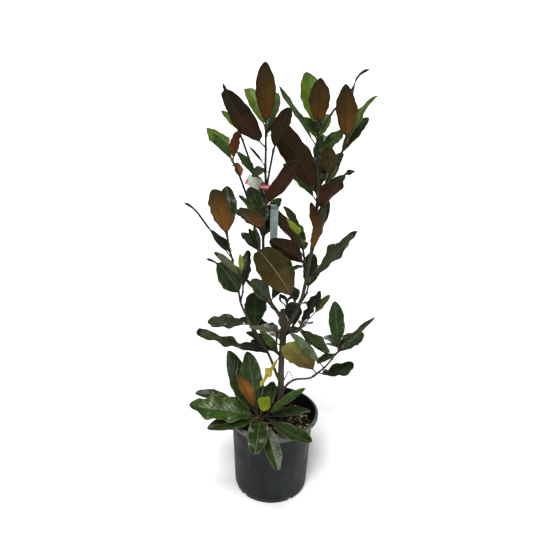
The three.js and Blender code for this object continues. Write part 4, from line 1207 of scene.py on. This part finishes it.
def wire_loop(pile, ring, reach_to, skin):
    """A closed loop of thin wire round the left leader, pulled out to a point in front of it."""
    stations = stations_along(LIMBS["left_leader"]["through"], WIRE["tied_within"])
    middle = min(stations, key=lambda s: abs(s.point[2] - ring["z"])).point
    out = (np.array(reach_to, float) - middle) * [1, 1, 0]
    reach, start = np.linalg.norm(out), math.atan2(out[1], out[0])
    rings = []
    for k in range(WIRE["rings"]):
        angle = 2 * math.pi * k / WIRE["rings"]
        forward = max(0, math.cos(angle)) ** WIRE["pull"]
        radial = np.array([math.cos(start + angle), math.sin(start + angle), 0])
        point = middle + radial * (ring["radius"] + (reach - ring["radius"]) * forward)
        point = point + [0, 0, (reach_to[2] - ring["z"]) * forward]
        station = SimpleNamespace(point=point, side=radial, up=np.array([0, 0, -1]))
        rings.append(ring_points(station, WIRE["radius"], WIRE["sides"]))
    pile.add(np.concatenate(rings), ring_quads(WIRE["rings"], WIRE["sides"], closed=True), skin)


def label_pieces():
    skins = [plain_growth(name, *look) for name, look in LABEL_LOOKS.items()]
    pile = Pile()
    plate, strap = LOOP_LABEL["plate"], LOOP_LABEL["strap"]
    for sheet, skin_at in (
        (plate, lambda u, v: ON_PINK if u < -0.72 and v < -0.1 else ON_CARD),
        (strap, lambda u, v: ON_CARD if abs(v) < 0.35 and u < 0.7 else ON_PINK),
    ):
        tilt = math.radians(sheet["tilt"])
        along, across = (math.cos(tilt), 0, -math.sin(tilt)), (math.sin(tilt), 0, math.cos(tilt))
        width, thickness, height = sheet["size"]
        card(pile, sheet["centre"], along, across, (width, height), thickness, LABEL_CURL, skin_at, False)
    wire_loop(pile, LOOP_LABEL["ring"], strap["centre"], ON_PINK)
    piece(pile.made("loop_label_card", skins, sharp_from=40), "label_plastic", "loop_label")
    pile, tag = Pile(), HANGING_TAG
    x, y, z = tag["top"]
    middle = (x, y, z + tag["above_tie"] - tag["length"] / 2)
    card(pile, middle, (0, 0, 1), (-1, 0, 0), (tag["length"], tag["width"]), tag["thickness"], TAG_CURL,
         lambda u, v: ON_TAG_TOP if u > 0.72 else ON_TAG, True)
    wire_loop(pile, tag["ring"], tag["top"], ON_WIRE)
    piece(pile.made("hanging_tag_card", skins, sharp_from=40), "label_plastic", "hanging_tag")


# ---- all pieces ----

def grow_leaves(grown, name, limbs):
    """The leaves and the twigs of the shoots on the named limbs, as one piece each."""
    nodes = [node for node, plan in PLAN.items() if plan.limb in limbs]
    leaves, twigs = Pile(), Pile()
    for number, entry in enumerate(grown):
        if entry.shoot in nodes:
            fine_leaf(leaves, entry.leaf, draws_for(f"{entry.shoot}{number}"))
    for node in nodes:
        fine_twig(twigs, PLAN[node], draws_for(f"{node}_twig"))
    if "trunk" in limbs:
        dead_twigs(twigs)
    leaves = leaves.made(f"{name}_leaves", LEAF_SKINS, sharp_from=55)
    piece(twigs.made(f"{name}_twigs", TWIG_SKINS, sharp_from=60), "foliage", *nodes)
    piece(leaves, "foliage", *nodes)


grown = grow_all()
grow_leaves(grown, "left_crown", ("left_leader",))
grow_leaves(grown, "right_crown", ("right_leader",))
grow_leaves(grown, "lower", ("trunk", "left_low_bough", "right_low_bough"))
bark_piece()
pot_piece()
soil_piece()
label_pieces()


# ---- stage, lights and camera ----

FLOOR = (-40, 40, -40, 60)  # its left, right, front and back, in metres
SKY_STRENGTH = 0.18
LIGHTS = {  # strength, how wide it is, elevation and azimuth, in degrees
    "overhead": (2.7, 32, 80, 262), "key": (2.3, 20, 52, 258), "fill": (0.45, 50, 30, 320),
}
SENSOR_WIDTH = 36
CAMERA = {"x": -0.004, "y": -1.73, "z": 1.44, "tilt": 24.3, "roll": 1.67, "focal_px": 741, "frame_px": 550}


def stage_and_lights():
    left, right, front, back = FLOOR
    mesh = bpy.data.meshes.new("floor")
    mesh.from_pydata([(left, front, 0), (right, front, 0), (right, back, 0), (left, back, 0)], [],
                     [(0, 1, 2, 3)])
    s = Shading("pale_floor", 0.9, 0.1)
    s.join(s.mix(s.noise(3, 2), "#f4f4f4", "#f7f7f7"), "Base Color")
    mesh.materials.append(s.material)
    placed("floor", mesh)
    world = bpy.data.worlds.new("studio")
    world.use_nodes = True
    sky = world.node_tree.nodes["Background"].inputs
    sky["Color"].default_value = (1, 1, 1, 1)
    sky["Strength"].default_value = SKY_STRENGTH
    bpy.context.scene.world = world
    for name, (strength, width, elevation, azimuth) in LIGHTS.items():
        light = bpy.data.lights.new(name, "SUN")
        light.energy, light.angle = strength, math.radians(width)
        up, turn = math.radians(elevation), math.radians(azimuth)
        towards = Vector((math.cos(up) * math.cos(turn), math.cos(up) * math.sin(turn), math.sin(up)))
        lamp = placed(name, light)
        lamp.rotation_mode = "QUATERNION"
        lamp.rotation_quaternion = towards.to_track_quat("Z", "Y")


def camera():
    lens = bpy.data.cameras.new("camera")
    lens.sensor_width = SENSOR_WIDTH
    lens.lens = CAMERA["focal_px"] / CAMERA["frame_px"] * SENSOR_WIDTH
    made, tilt = placed("camera", lens), math.radians(CAMERA["tilt"])
    level = Vector((0, math.cos(tilt), -math.sin(tilt))).to_track_quat("-Z", "Y").to_matrix()
    rolled = level @ Matrix.Rotation(math.radians(CAMERA["roll"]), 3, "Z")
    made.matrix_world = Matrix.Translation((CAMERA["x"], CAMERA["y"], CAMERA["z"])) @ rolled.to_4x4()
    bpy.context.scene.camera = made


stage_and_lights()
camera()
bpy.context.scene.view_settings.view_transform = "Standard"
bpy.context.scene.view_settings.look = "None"
